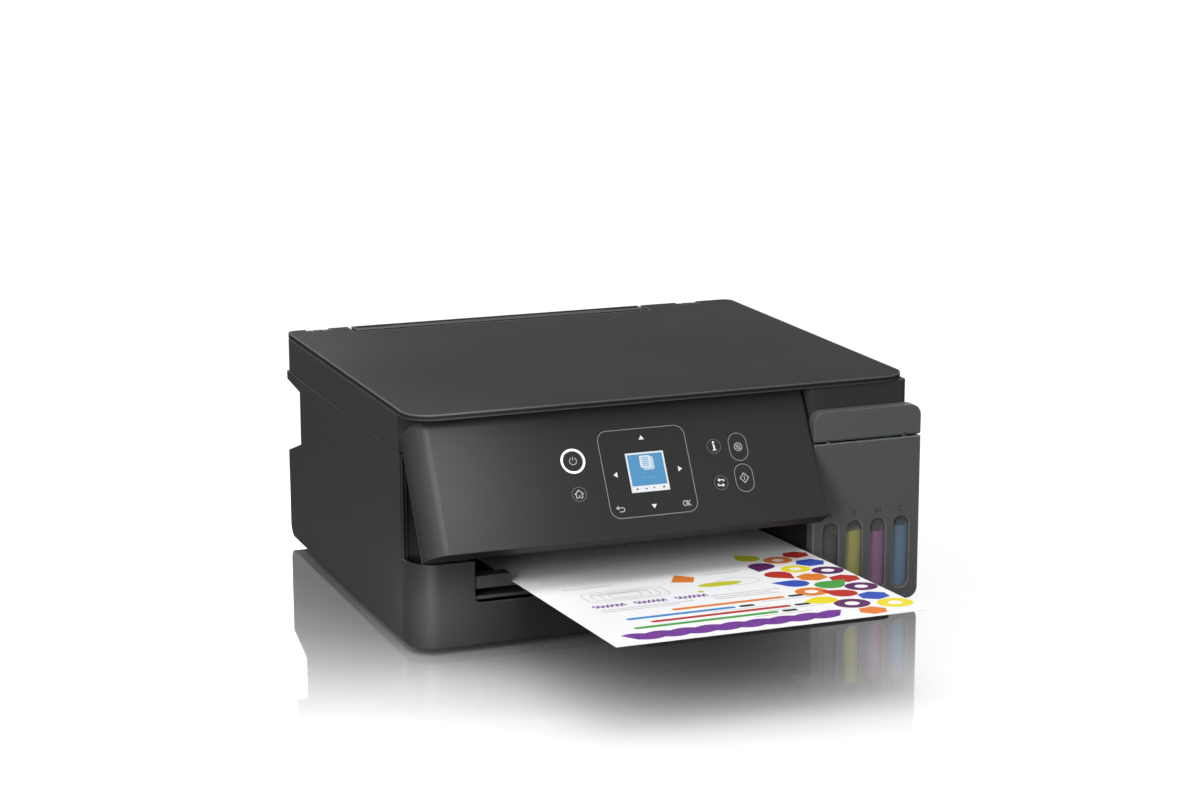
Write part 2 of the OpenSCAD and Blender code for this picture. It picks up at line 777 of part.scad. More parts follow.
module scanner_frame() {
    color(black) difference() {
        translate([0, 0, z_g - frame_t]) linear_extrude(frame_t) difference() {
            scan_plan(wall + gap);
            translate([x_gl0 + glass_lip, y_gl0 + glass_lip])
                square([glass_l - 2 * glass_lip, glass_w - 2 * glass_lip]);
            // Room for the hinge bosses and the lid's hinge brackets
            for (x = [x_cut0 - 13, x_cut1 - 1]) translate([x, y_hinge - 5]) square([14, 20]);
            for (x = lid_hinge_xs) translate([x - 8.3, y_lid_hinge - 2.1]) square([16.6, 20]);
        }
        lid_sweep();
    }
}
module scanner_glass() {
    color([0.75, 0.85, 0.85, 0.4])
        box([x_gl0, y_gl0, z_g - frame_t - glass_t], [x_gl0 + glass_l, y_gl0 + glass_w, z_g - frame_t]);
}
module scan_rod() {
    color(steel) cyl_x(x_li, x_ri, y_rod, z_rod, rod_r);
}
module scan_bar() {
    color(inner_black) difference() {
        union() {
            box([x_gl0 + 5, y_gl0 + 4, z_sc + wall + 0.6],
                [x_gl0 + 5 + bar_w, y_gl0 + glass_w - 4, z_g - frame_t - glass_t - 1.2]);
            box([x_gl0 + 5, y_rod - 9, z_sc + wall + 0.6], [x_gl0 + 15 + bar_w, y_rod + 9, z_rod + 6]);
        }
        cyl_x(x_gl0, x_gl0 + 30 + bar_w, y_rod, z_rod, rod_r + run_gap);
        // Lens slot
        box([x_gl0 + bar_w / 2 + 2, y_gl0 + 10, z_g - frame_t - glass_t - 3],
            [x_gl0 + bar_w / 2 + 8, y_gl0 + glass_w - 10, z_g]);
    }
}

module lid_plan() {
    difference() {
        union() {
            rrect([x_l, y_f + lid_back], [x_r, y_b - 60], lid_r);
            rrect([x_l, y_f + 60], [x_r, y_b], lid_rear_r);
        }
        notch(0);
        for (x = lid_hinge_xs) translate([x - 9, y_b - 7.5]) square([18, 20]);
    }
}
module document_lid() {
    color(black) difference() {
        union() {
            translate([0, 0, z_l]) linear_extrude(lid_t) lid_plan();
            for (x = lid_hinge_xs) {
                cyl_x(x - 4, x + 4, y_lid_hinge, z_lid_hinge, lid_t / 2 - 0.05);
                box([x - 4, y_b - 8, z_l + 0.6], [x + 4, y_lid_hinge, z_top - 0.6]);
            }
        }
        for (x = lid_hinge_xs) cyl_x(x - 5, x + 5, y_lid_hinge, z_lid_hinge, lid_pin_r + run_gap);
    }
}
mat_inset = 2;
module lid_mat() {
    color(white)
        box([x_gl0 + glass_lip + mat_inset, y_gl0 + glass_lip + mat_inset, z_l - mat_t],
            [x_gl0 + glass_l - glass_lip - mat_inset, y_gl0 + glass_w - glass_lip - mat_inset, z_l]);
}
module lid_hinges() {
    color(black) for (x = lid_hinge_xs) {
        for (s = [-1, 1]) along_x(x + s * 6.5 - 1.5, x + s * 6.5 + 1.5) {
            translate([y_lid_hinge - 1.8, z_g - frame_t - 3]) square([2.8, z_lid_hinge - z_g + frame_t + 3]);
            translate([y_lid_hinge, z_lid_hinge]) circle(1.8);
        }
        box([x - 8, y_lid_hinge - 1.8, z_g - frame_t - 6], [x + 8, y_lid_hinge + 1.1, z_g - frame_t - 2.6]);
        cyl_x(x - 6.5, x + 6.5, y_lid_hinge, z_lid_hinge, lid_pin_r);
    }
}
module scanner_hinge_pins() {
    color(steel) {
        cyl_x(x_cut0 - 8, x_in0, y_hinge, z_hinge, scan_pin_r);
        cyl_x(x_in1, x_cut1 + 8, y_hinge, z_hinge, scan_pin_r);
    }
}

// ---- Ink tank unit ----

tank_front_d = 10;
flap_d = 9.2;
tank_mid = (x_t + x_tr) / 2;
win_xs = [for (k = [0:3]) tank_mid + (k - 1.5) * win_pitch];
z_win0 = z_t + win_base;
z_bench = z_t + bench_h;
// Outline of the unit from the front: rounded below, square at the top
module tank_outline(i, top) {
    intersection() {
        rrect([x_t + i, z_t + i], [x_tr - i, top + 30], tank_r - i);
        translate([x_t, z_t]) square([tank_w, top - z_t]);
    }
}
y_fl = y_tf + 2;
z_fl = z_seam + tank_seam_gap + 2;
ear_xs = [x_t + 12, x_tr - 12];
ear_w = 2.4;
ear_r = 1.2;
flap_pin_r = 0.7;
flap_skin = 0.5;
module tank_front() {
    color(tank_grey) {
        difference() {
            along_y(y_tf, y_tf + tank_front_d) tank_outline(0, z_seam);
            along_y(y_tf + wall, y_tf + tank_front_d + 1) tank_outline(wall, z_seam + 1);
            for (x = win_xs)
                along_y(y_tf - 1, y_tf + wall + 1)
                    rrect([x - win_w / 2, z_win0], [x + win_w / 2, z_win0 + win_h], win_r);
        }
        // Ears for the flap's pin
        for (x = ear_xs) difference() {
            along_x(x - ear_w / 2, x + ear_w / 2) {
                translate([y_fl, z_fl]) circle(ear_r);
                translate([y_fl + 0.1, z_seam - 8]) square([ear_r - 0.1, z_fl - z_seam + 8]);
            }
            cyl_x(x - ear_w, x + ear_w, y_fl, z_fl, flap_pin_r + run_gap);
        }
    }
}
win_r = win_w / 2 - eps;
module tank_housing() {
    color(inner_black) difference() {
        union() {
            along_y(y_tf + tank_front_d, y_tb) difference() {
                tank_outline(0, z_s - gap);
                tank_outline(wall, z_s + 1);
            }
            along_y(y_tb - wall, y_tb) tank_outline(wall / 2, z_s - gap);
            // Cradle under the reservoir
            for (y = [y_tf + 30, y_tb - 30])
                box([x_t + wall - eps, y, z_t + wall - eps], [x_tr - wall + eps, y + 3, z_res - gap]);
        }
        for (x = win_xs) cyl_y(y_tb - wall - 1, y_tb + 1, x, z_tube, tube_r + gap);
    }
}
flap_top = 2;
module tank_flap() {
    color(tank_grey) {
        difference() {
            union() {
                along_y(y_tf, y_tf + flap_d) difference() {
                    flap_outline(0);
                }
                cyl_x(x_t + 0.2, x_tr - 0.2, y_fl, z_fl, 2);
            }
            along_y(y_tf + wall, y_tf + flap_d + 1) flap_outline(flap_top);
            box([x_t + flap_top, y_fl + 2.1, z_fl - 3], [x_tr - flap_top, y_b, z_fl + 1]);
            for (x = ear_xs) {
                box([x - ear_w / 2 - gap, y_tf + flap_skin, z_fl - 3],
                    [x + ear_w / 2 + gap, y_fl + 5, z_fl + 2.4]);
                box([x - ear_w / 2 - gap, y_tf - 1, z_fl - 3], [x + ear_w / 2 + gap, y_fl + 5, z_fl]);
            }
        }
        for (x = ear_xs) cyl_x(x - ear_w, x + ear_w, y_fl, z_fl, flap_pin_r);
    }
}
module flap_outline(i) {
    intersection() {
        rrect([x_t + i, z_fl - 30], [x_tr - i, z_flap - i], tank_r - i);
        translate([x_t - 1, z_fl - (i > 0 ? 1 : 0)]) square([tank_w + 2, 60]);
    }
}

res_wall = 1.2;
res_side = 2.1;
x_res0 = x_t + wall + res_side;
x_res1 = x_tr - wall - res_side;
z_res = z_t + wall + 4;
y_res = y_tf + wall + gap;
neck_r = 4.2;
neck_bore = 2.6;
neck_h = 5;
y_neck = y_tf + 24;
z_neck = z_bench + neck_h;
tube_r = 1.3;
z_tube = z_res + 5;
module ink_reservoir() {
    color([0.35, 0.36, 0.37, 0.6]) difference() {
        union() {
            box([x_res0, y_res, z_res], [x_res1, y_tb - wall - 6, z_bench]);
            for (x = win_xs) {
                cyl_z(z_bench - eps, z_neck, x, y_neck, neck_r);
                // Hinge posts of the fill caps
                for (s = [-1, 1]) along_x(x + s * 4.4 - 0.9, x + s * 4.4 + 0.9) {
                    translate([y_cap - 1.5, z_bench - eps]) square([3, z_cap - z_bench]);
                    translate([y_cap, z_cap]) circle(1.5);
                }
                cyl_y(y_tb - wall - 6 - eps, y_tb - wall - 2, x, z_tube, tube_r + 1);
            }
        }
        for (x = win_xs) {
            box([max(x - win_pitch / 2 + res_wall / 2 + 0.5, x_res0 + res_wall),
                y_res + res_wall, z_res + res_wall],
                [min(x + win_pitch / 2 - res_wall / 2 - 0.5, x_res1 - res_wall),
                    y_tb - wall - 6 - res_wall, z_bench - 2]);
            cyl_z(z_bench - 3, z_neck + 1, x, y_neck, neck_bore);
            cyl_x(x - 7, x + 7, y_cap, z_cap, cap_pin_r + run_gap);
            cyl_y(y_tb - wall - 8, y_tb, x, z_tube, tube_r + run_gap);
        }
    }
}
cap_pin_r = 0.8;
y_cap = y_neck + 9;
z_cap = z_neck + 1.6;
cap_t = 3.2;
module fill_cap(k) {
    x = win_xs[k];
    difference() {
        union() {
            cyl_z(z_neck - 1.2, z_neck + cap_t, x, y_neck, cap_r);
            box([x - 3, y_neck, z_neck + 0.6], [x + 3, y_cap, z_neck + 2.6]);
            cyl_x(x - 3.1, x + 3.1, y_cap, z_cap, 1.4);
        }
        cyl_z(z_neck - 2, z_neck + gap, x, y_neck, neck_r + 0.5);
    }
    cyl_x(x - 5.2, x + 5.2, y_cap, z_cap, cap_pin_r);
}
module cap_black() {
    color([0.1, 0.1, 0.1]) fill_cap(0);
}
module cap_yellow() {
    color([0.8, 0.7, 0.1]) fill_cap(1);
}
module cap_magenta() {
    color([0.7, 0.2, 0.45]) fill_cap(2);
}
module cap_cyan() {
    color([0.1, 0.5, 0.7]) fill_cap(3);
}

// ---- Rear feed ----

y_sup = y_b - 6;
side_t = 2.2;
x_in0 = x_feed0 + gap + side_t;
x_in1 = x_feed1 - gap - side_t;
z_guard = z_top - 1.8;
y_guard = y_strip + 2.4;
guard_pin_r = 0.9;
pick_y = y_sup - (pickup_r + 0.6) * cos(chute_lean) - 70 * sin(chute_lean);
pick_z = z_top - 70 * cos(chute_lean) + (pickup_r + 0.6) * sin(chute_lean);
module on_chute() {
    translate([0, y_sup, z_top]) rotate([-chute_lean, 0, 0]) children();
}
rail_z = z_s + 15;
rail_h = 3;
rail_d = 1.8;
wall_f = 2;
module feeder_side(x0) {
    difference() {
        along_x(x0, x0 + side_t) {
            translate([y_rec - wall + gap + 0.3, z_shelf + 6]) square([27, z_s - wall - gap - z_shelf - 6]);
            translate([y_strip + gap, z_s - wall - 3]) square([9, wall + 4]);
            translate([y_strip, z_s]) square([feeder_d, z_top - z_s]);
        }
        cyl_x(x0 - 1, x0 + 3, pick_y, pick_z, shaft_r + run_gap);
        cyl_x(x0 - 1, x0 + 3, y_guard, z_guard, guard_pin_r + run_gap);
        cyl_x(x0 - 1, x0 + 3, y_hinge, z_hinge, scan_pin_r + run_gap);
    }
}
module feeder_frame() {
    color(black) {
        feeder_side(x_feed0 + gap);
        feeder_side(x_in1);
        // Rear wall, front wall and the rail of the edge guides
        box([x_in0 - eps, y_b - wall, z_s], [x_in1 + eps, y_b, z_top]);
        box([x_in0 - eps, y_strip, z_s], [x_in1 + eps, y_strip + wall_f, z_top - 4.4]);
        box([x_in0 - eps, y_strip + wall_f - eps, rail_z],
            [x_in1 + eps, y_strip + wall_f + rail_d, rail_z + rail_h]);
        on_chute() {
            box([x_in0 - eps, 2.4, -support_len - 10], [x_in1 + eps, 4.2, -7]);
            box([x_in0 - eps, -1, -support_len - 12], [x_in1 + eps, 4.2, -support_len - 10 + eps]);
        }
        // Guide that leads the paper from the chute to the feed roller
        along_x(x_path - 105, x_path + 105) {
            y_g = y_sup - (support_len + 11) * sin(chute_lean) - 1;
            z_g0 = z_top - (support_len + 11) * cos(chute_lean);
            polygon([[y_g, z_g0 + 0.6], [y_g, z_g0 - 1], [y_feed + feed_r + 2, z_feed + feed_r - 2.4],
                [y_feed + feed_r + 2, z_feed + feed_r - 0.8]]);
        }
    }
}
module feeder_guard() {
    color(black) {
        box([x_in0 + gap, y_strip + 1.1, z_top - 2.2], [x_in1 - gap, y_strip + 1.1 + guard_d * 0.85, z_top]);
        cyl_x(x_in0 + gap, x_in1 - gap, y_guard, z_guard, 1.6);
        cyl_x(x_in0 - side_t + 0.4, x_in1 + side_t - 0.4, y_guard, z_guard, guard_pin_r);
    }
}
module paper_support() {
    color(panel_grey) on_chute() {
        box([x_path - tray_w / 2, 0, -support_len], [x_path + tray_w / 2, 2, 0]);
    }
}
guide_x = 106;
guide_travel = 50;
// An edge guide: a fin beside the paper with a shoe on the rail
module edge_guide(s) {
    y0 = y_strip + wall_f + gap + 0.2;
    function y_line(z) = y_sup - (z_top - z) * tan(chute_lean) - 0.6;
    x = x_path + s * guide_x;
    color(panel_grey) difference() {
        union() {
            along_x(x - 0.8, x + 0.8)
                polygon([[y0, z_top - 5.5], [y_line(z_top - 5.5), z_top - 5.5],
                    [y_line(z_s - 9), z_s - 9], [y0, z_s - 9]]);
            box([min(x, x + s * 5), y0, rail_z - 4], [max(x, x + s * 5), y0 + 4.4, rail_z + rail_h + 4]);
        }
        box([x - 10, y0 - 1, rail_z - gap],
            [x + 10, y_strip + wall_f + rail_d + gap, rail_z + rail_h + gap]);
    }
}
module edge_guide_left() {
    edge_guide(-1);
}
module edge_guide_right() {
    edge_guide(1);
}
module pickup_roller() {
    color(rubber) {
        cyl_x(x_in0 - side_t + 0.2, x_in1 + side_t - 0.2, pick_y, pick_z, shaft_r);
        cyl_x(x_path - 14, x_path + 14, pick_y, pick_z, pickup_r);
    }
}

// ---- Print mechanism ----

plate_t = 1.5;
plate_y0 = -24;
x_pl = x_l + 14;
x_pr = x_r - 15;
y_feed = 44;
z_feed = 51;
gear_n = 30;
idler_n = 28;
y_idler = y_feed - (gear_n + idler_n) / 2;
y_exit = y_idler - (gear_n + idler_n) / 2;
gear_x = x_l + 7.5;
gear_w = 4;
z_plate_top = 118;
plate_y1 = 75;
wall_y = 60;
wall_z0 = 66;
roof_y = 46;
guide_y = 50;
z_guide = 82.5;
bar_y0 = 8;
bar_y1 = 24;
platen_t = 3;
roller_half = 108;
platen_half = 112;
z_belt = 100;
y_belt = 53;
belt_half = 4;
belt_t = 0.9;
belt_w = 6;
x_pul0 = x_pl + 9;
x_pul1 = x_pr - 9;
module main_frame() {
    color(steel) {
        difference() {
            for (x = [x_pl, x_pr])
                box([x, plate_y0, z_0 + wall], [x + plate_t, plate_y1, z_plate_top]);
            for (y = [y_feed, y_exit])
                cyl_x(x_pl - 1, x_pr + 3, y, z_feed, shaft_r + run_gap);
            // Lightening holes
            for (y = [-12, 22, 56])
                cyl_x(x_pl - 1, x_pr + 3, y, 24, 9);
            cyl_x(x_pl - 1, x_pr + 3, 5, 92, 14);
        }
        difference() {
            box([x_pl + plate_t - eps, wall_y, wall_z0], [x_pr + eps, wall_y + plate_t, z_plate_top]);
            for (k = [-3:3])
                along_y(wall_y - 1, wall_y + plate_t + 1.5) rrect([40 * k - 14, 90], [40 * k + 14, 112], 4);
        }
        difference() {
            box([x_pl + plate_t - eps, roof_y, z_plate_top - plate_t],
                [x_pr + eps, wall_y + eps, z_plate_top]);
            cyl_z(z_plate_top - 3, z_plate_top + 1, x_pul1, y_belt, 4);
        }
        box([x_pl + plate_t - eps, guide_y, z_guide], [x_pr + eps, wall_y + eps, z_guide + plate_t]);
        box([x_pl + plate_t - eps, bar_y0, z_feed - platen_t - plate_t],
            [x_pr + eps, bar_y1, z_feed - platen_t]);
        // Pins of the idler gear and of the belt's pulley
        cyl_x(gear_x - 1, x_pl + eps, y_idler, z_feed, 2);
        cyl_z(z_belt - belt_w / 2 - 2, z_plate_top - plate_t + eps, x_pul0, y_belt,
            belt_half - belt_t - 0.2);
    }
}
x_park = x_pr - carriage_w / 2 - 1.5;
x_stn = x_park - carriage_w / 2 + 8;
x_plat1 = x_stn - 1;
module platen() {
    color(inner_black) {
        box([x_path - platen_half, y_exit + feed_r + 0.8, z_feed - platen_t],
            [x_plat1, y_feed - feed_r - 0.8, z_feed + platen_t]);
        for (k = [-8:floor((x_plat1 - x_path - 19) / 12.5)])
            box([x_path + 12.5 * k - 0.8, y_exit + feed_r + 2, z_feed + platen_t - eps],
                [x_path + 12.5 * k + 0.8, y_feed - feed_r - 2, z_feed + 6]);
    }
}
// A spur gear in the plane across its shaft, its teeth a little thin to leave some play
module spur(n, phase) {
    r = n / 2;
    circle(r - 1.2);
    for (k = [0:n - 1]) rotate(phase + k * 360 / n)
        polygon([[r - 1.6, -0.9], [r + 0.85, -0.32], [r + 0.85, 0.32], [r - 1.6, 0.9]]);
}
module roller_gear(y) {
    along_x(gear_x, gear_x + gear_w) translate([y, z_feed]) spur(gear_n, 0);
}
module feed_roller() {
    color([0.35, 0.35, 0.36]) {
        cyl_x(gear_x + gear_w - eps, x_pr + plate_t + 2, y_feed, z_feed, shaft_r);
        cyl_x(x_path - roller_half, x_path + roller_half, y_feed, z_feed, feed_r);
        roller_gear(y_feed);
    }
}
module exit_roller() {
    color(rubber) {
        cyl_x(gear_x + gear_w - eps, x_pr + plate_t + 2, y_exit, z_feed, shaft_r);
        for (k = [-3:3])
            cyl_x(x_path + 30 * k - 5, x_path + 30 * k + 5, y_exit, z_feed, feed_r);
        roller_gear(y_exit);
    }
}
module idler_gear() {
    color(white) difference() {
        along_x(gear_x, gear_x + gear_w) translate([y_idler, z_feed]) spur(idler_n, 180 / idler_n);
        cyl_x(gear_x - 1, gear_x + gear_w + 1, y_idler, z_feed, 2 + run_gap);
    }
}
z_car = 62;
car_d = 45;
car_h = 48;
shoe_y = wall_y - 3;
shoe_down = 4.5;
shoe_up = 7.5;
guide_gap = 0.4;
damper_pitch = 16.2;
damper_w = 15;
damper_side = 3;
damper_y0 = 4;
damper_y1 = 38;
damper_z = z_car + 12;
module carriage() {
    color(inner_black) difference() {
        union() {
            box([x_park - carriage_w / 2, 0, z_car], [x_park + carriage_w / 2, car_d, z_car + car_h]);
            // Shoe that rides on the frame's rail
            box([x_park - carriage_w / 2, car_d - eps, z_guide - shoe_down],
                [x_park + carriage_w / 2, shoe_y, z_guide - guide_gap]);
            box([x_park - carriage_w / 2, car_d - eps, z_guide + plate_t + guide_gap],
                [x_park + carriage_w / 2, shoe_y, z_guide + shoe_up]);
        }
        // Pockets for the four dampers
        for (k = [0:3]) {
            x = x_park - carriage_w / 2 + damper_side + damper_pitch * k;
            box([x, damper_y0, damper_z], [x + damper_w, damper_y1, z_car + car_h + 1]);
        }
    }
}
head_w = 52;
head_y0 = 10;
head_y1 = 36;
head_t = 2.4;
module print_head() {
    color(steel)
        box([x_park - head_w / 2, head_y0, z_car - head_t], [x_park + head_w / 2, head_y1, z_car]);
}
module carriage_belt() {
    color(rubber) translate([0, 0, z_belt - belt_w / 2]) linear_extrude(belt_w) difference() {
        belt_loop(belt_half);
        belt_loop(belt_half - belt_t);
    }
}
module belt_loop(r) {
    translate([x_pul0, y_belt]) circle(r);
    translate([x_pul1, y_belt]) circle(r);
    translate([x_pul0, y_belt - r]) square([x_pul1 - x_pul0, 2 * r]);
}
motor_r = 12;
motor_h = 12;
feed_motor_r = 13;
feed_motor_l = 22;
feed_motor_y = 56;
feed_motor_z = 34;
module motors() {
    color(steel) {
        // Carriage motor on top of the frame, with its pulley
        cyl_z(z_plate_top, z_plate_top + motor_h, x_pul1 - 6, y_belt + 2, motor_r);
        cyl_z(z_belt - belt_w / 2 - 1, z_plate_top + eps, x_pul1, y_belt, belt_half - belt_t - 0.2);
        // Feed motor on the inside of the left plate
        cyl_x(x_pl + plate_t, x_pl + plate_t + feed_motor_l, feed_motor_y, feed_motor_z, feed_motor_r);
    }
}
station_y = 2;
station_end = 29;
cap_half = 20;
cap_wall = 1.5;
cap_y0 = 12;
cap_y1 = 34;
cap_drop = 3;
cap_floor = 2;
wiper_t = 1.4;
wiper_y = 8;
module maintenance_station() {
    color(inner_black) {
        box([x_stn, station_y, z_feed - platen_t],
            [x_park + station_end, y_feed - feed_r - 1, z_feed + platen_t]);
        // Cap under the print head, and the wiper
        difference() {
            box([x_park - cap_half, cap_y0, z_feed + platen_t - eps],
                [x_park + cap_half, cap_y1, z_car - cap_drop]);
            box([x_park - cap_half + cap_wall, cap_y0 + cap_wall, z_feed + platen_t + cap_floor],
                [x_park + cap_half - cap_wall, cap_y1 - cap_wall, z_car]);
        }
        box([x_stn + 2, wiper_y, z_feed + platen_t - eps],
            [x_stn + 2 + wiper_t, y_feed - feed_r - 2, z_car - cap_drop]);
    }
}
z_run = z_plate_top + 3;
tube_end = -60;
module ink_tubes() {
    color([0.3, 0.3, 0.32]) for (k = [0:3]) {
        x = win_xs[k] - 6;
        xr = win_xs[0] + 8 + 4 * k;
        y1 = y_tb + 2.8 + 3.2 * k;
        y2 = 46 + 3.4 * k;
        cyl_y(y_tb - wall - 5, y1, win_xs[k], z_tube, tube_r);
        translate([win_xs[k], y1, z_tube]) sphere(tube_r);
        cyl_x(min(xr, win_xs[k]), max(xr, win_xs[k]), y1, z_tube, tube_r);
        translate([xr, y1, z_tube]) sphere(tube_r);
        cyl_z(z_tube, z_run, xr, y1, tube_r);
        translate([xr, y1, z_run]) sphere(tube_r);
        cyl_y(y1, y2, xr, z_run, tube_r);
        translate([xr, y2, z_run]) sphere(tube_r);
        cyl_x(tube_end, xr, y2, z_run, tube_r);
    }
}

board_z0 = z_0 + wall + 2;
board_x0 = x_l + 30;
board_y = y_b - 22;
board_t = 1.6;
board_drop = 8;
chip_w = 24;
chip_t = 2;
psu_x0 = x_r - 160;
psu_d = 34;
psu_drop = 14;
psu_side = 20;
vent_pitch = 8;
vent_w = 4;
module electronics() {
    color([0.1, 0.3, 0.18]) {
        // Main board with its larger parts
        box([board_x0, board_y, board_z0], [usb_x + 40, board_y + board_t, z_shelf - board_drop]);
        box([board_x0 + 30, board_y - chip_t, board_z0 + 14],
            [board_x0 + 30 + chip_w, board_y + eps, board_z0 + 14 + chip_w]);
        box([board_x0 + 66, board_y - 2 * chip_t, board_z0 + 30],
            [board_x0 + 66 + chip_w / 2, board_y + eps, board_z0 + 44]);
    }
    color(steel) {
        // Power supply in its case
        difference() {
            box([psu_x0, y_b - psu_d, z_0 + wall],
                [inlet_x - psu_side, y_b - heel_r - 1, z_shelf - psu_drop]);
            for (k = [0:5]) {
                x = psu_x0 + 6 + vent_pitch * k;
                box([x, y_b - psu_d + 8, z_shelf - psu_drop - 2],
                    [x + vent_w, y_b - 12, z_shelf - psu_drop + 1]);
            }
        }
    }
}
port_set = 0.8;
inlet_d = 20;
well_d = 16;
well_r = 4.4;
pin_x = 4.3;
pin_r = 1.2;
usb_d = y_b - board_y - board_t;
usb_hole = 8.6;
usb_hole_h = 8;
usb_tongue = 5.6;
usb_tongue_t = 3.2;
module rear_ports() {
    color(inner_black) {
        // Mains inlet with two pins
        difference() {
            box([inlet_x - inlet_w / 2 + gap, y_b - inlet_d, inlet_z - inlet_h / 2 + gap],
                [inlet_x + inlet_w / 2 - gap, y_b - port_set, inlet_z + inlet_h / 2 - gap]);
            along_y(y_b - well_d, y_b) translate([inlet_x, inlet_z]) {
                for (s = [-1, 1]) translate([pin_x * s, 0]) circle(well_r);
                square([8, 5], center = true);
            }
        }
        for (s = [-1, 1]) cyl_y(y_b - well_d - 1, y_b - 5, inlet_x + pin_x * s, inlet_z, pin_r);
        // Data port with its tongue
        difference() {
            box([usb_x - usb_w / 2 + gap, y_b - usb_d, usb_z - usb_w / 2 + gap],
                [usb_x + usb_w / 2 - gap, y_b - port_set, usb_z + usb_w / 2 - gap]);
            box([usb_x - usb_hole / 2, y_b - 10, usb_z - usb_hole_h / 2],
                [usb_x + usb_hole / 2, y_b, usb_z + usb_hole_h / 2]);
        }
        box([usb_x - usb_tongue / 2, y_b - 11, usb_z - usb_tongue_t / 2],
            [usb_x + usb_tongue / 2, y_b - 2.5, usb_z + usb_tongue_t / 2]);
    }
}

base_pan();
left_cover();
right_cover();
rear_cover();
front_cover();
top_deck();
bulkhead();
output_deck();
rubber_feet();
case_screws();
document_lid();
lid_mat();
lid_hinges();
scanner_base();
scanner_frame();
scanner_glass();
scan_bar();
scan_rod();
scanner_hinge_pins();
panel_shell();
panel_back();
panel_window();
display();
power_ring();
power_key();
home_key();
info_key();
copy_key();
stop_key();
start_key();
tank_housing();
tank_front();
tank_flap();
ink_reservoir();
cap_black();
cap_yellow();
cap_magenta();
cap_cyan();
ink_tubes();
output_tray();
tray_extension();
printed_sheet();
feeder_frame();
feeder_guard();
paper_support();
edge_guide_left();
edge_guide_right();
pickup_roller();
main_frame();
platen();
feed_roller();
idler_gear();
exit_roller();
carriage();
print_head();
carriage_belt();
motors();
maintenance_station();
electronics();
rear_ports();
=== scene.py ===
import math
import bmesh
import bpy
from mathutils import Matrix, Vector


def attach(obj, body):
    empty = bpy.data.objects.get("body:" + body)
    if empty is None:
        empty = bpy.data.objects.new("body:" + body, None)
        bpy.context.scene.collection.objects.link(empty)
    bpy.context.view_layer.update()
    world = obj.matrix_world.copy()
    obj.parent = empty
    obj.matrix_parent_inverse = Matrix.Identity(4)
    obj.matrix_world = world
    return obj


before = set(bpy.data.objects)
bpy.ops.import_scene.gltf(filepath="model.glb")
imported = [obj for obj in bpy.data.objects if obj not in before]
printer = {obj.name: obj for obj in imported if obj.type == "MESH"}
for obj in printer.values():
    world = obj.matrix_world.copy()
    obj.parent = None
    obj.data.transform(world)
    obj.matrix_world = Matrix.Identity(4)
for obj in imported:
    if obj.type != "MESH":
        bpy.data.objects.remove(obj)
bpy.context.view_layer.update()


# ---- Viewpoint ----
# A long lens at the front left, higher than the lid and about two metres away.
# The two directions are the view's right and its top.
eye = Vector((-0.7061, -1.8422, 0.5701))
across = Vector((0.93229, -0.36171, -0.00160))
upward = Vector((0.08032, 0.20272, 0.97594))
toward = across.cross(upward)
lens = bpy.data.cameras.new("viewpoint")
lens.sensor_fit = "HORIZONTAL"
lens.sensor_width = 36.0
lens.lens = 82.137
lens.clip_start = 0.05
lens.clip_end = 60.0
viewpoint = bpy.data.objects.new("viewpoint", lens)
bpy.context.scene.collection.objects.link(viewpoint)
viewpoint.matrix_world = Matrix.Translation(eye) @ Matrix(
    (
        (across.x, upward.x, toward.x),
        (across.y, upward.y, toward.y),
        (across.z, upward.z, toward.z),
    )
).to_4x4()
bpy.context.scene.camera = viewpoint
bpy.context.scene.view_settings.view_transform = "Standard"


# ---- Studio floor ----
# A pale polished table top. Close to the printer it mirrors it, and from there
# it fades to plain white that keeps only the soft shadow.
class Reading:
    """A number read over a surface. Arithmetic on it adds the Math nodes."""

    def __init__(self, finish, socket):
        self.finish = finish
        self.socket = socket

    def _work(self, how, a, b=0.0):
        return self.finish.node("ShaderNodeMath", {"operation": how}, {0: a, 1: b})

    def __add__(self, other):
        return self._work("ADD", self, other)

    def __radd__(self, other):
        return self._work("ADD", other, self)

    def __sub__(self, other):
        return self._work("SUBTRACT", self, other)

    def __rsub__(self, other):
        return self._work("SUBTRACT", other, self)

    def __mul__(self, other):
        return self._work("MULTIPLY", self, other)

    def __rmul__(self, other):
        return self._work("MULTIPLY", other, self)

    def __abs__(self):
        return self._work("ABSOLUTE", self)

    def least(self, other):
        return self._work("MINIMUM", self, other)


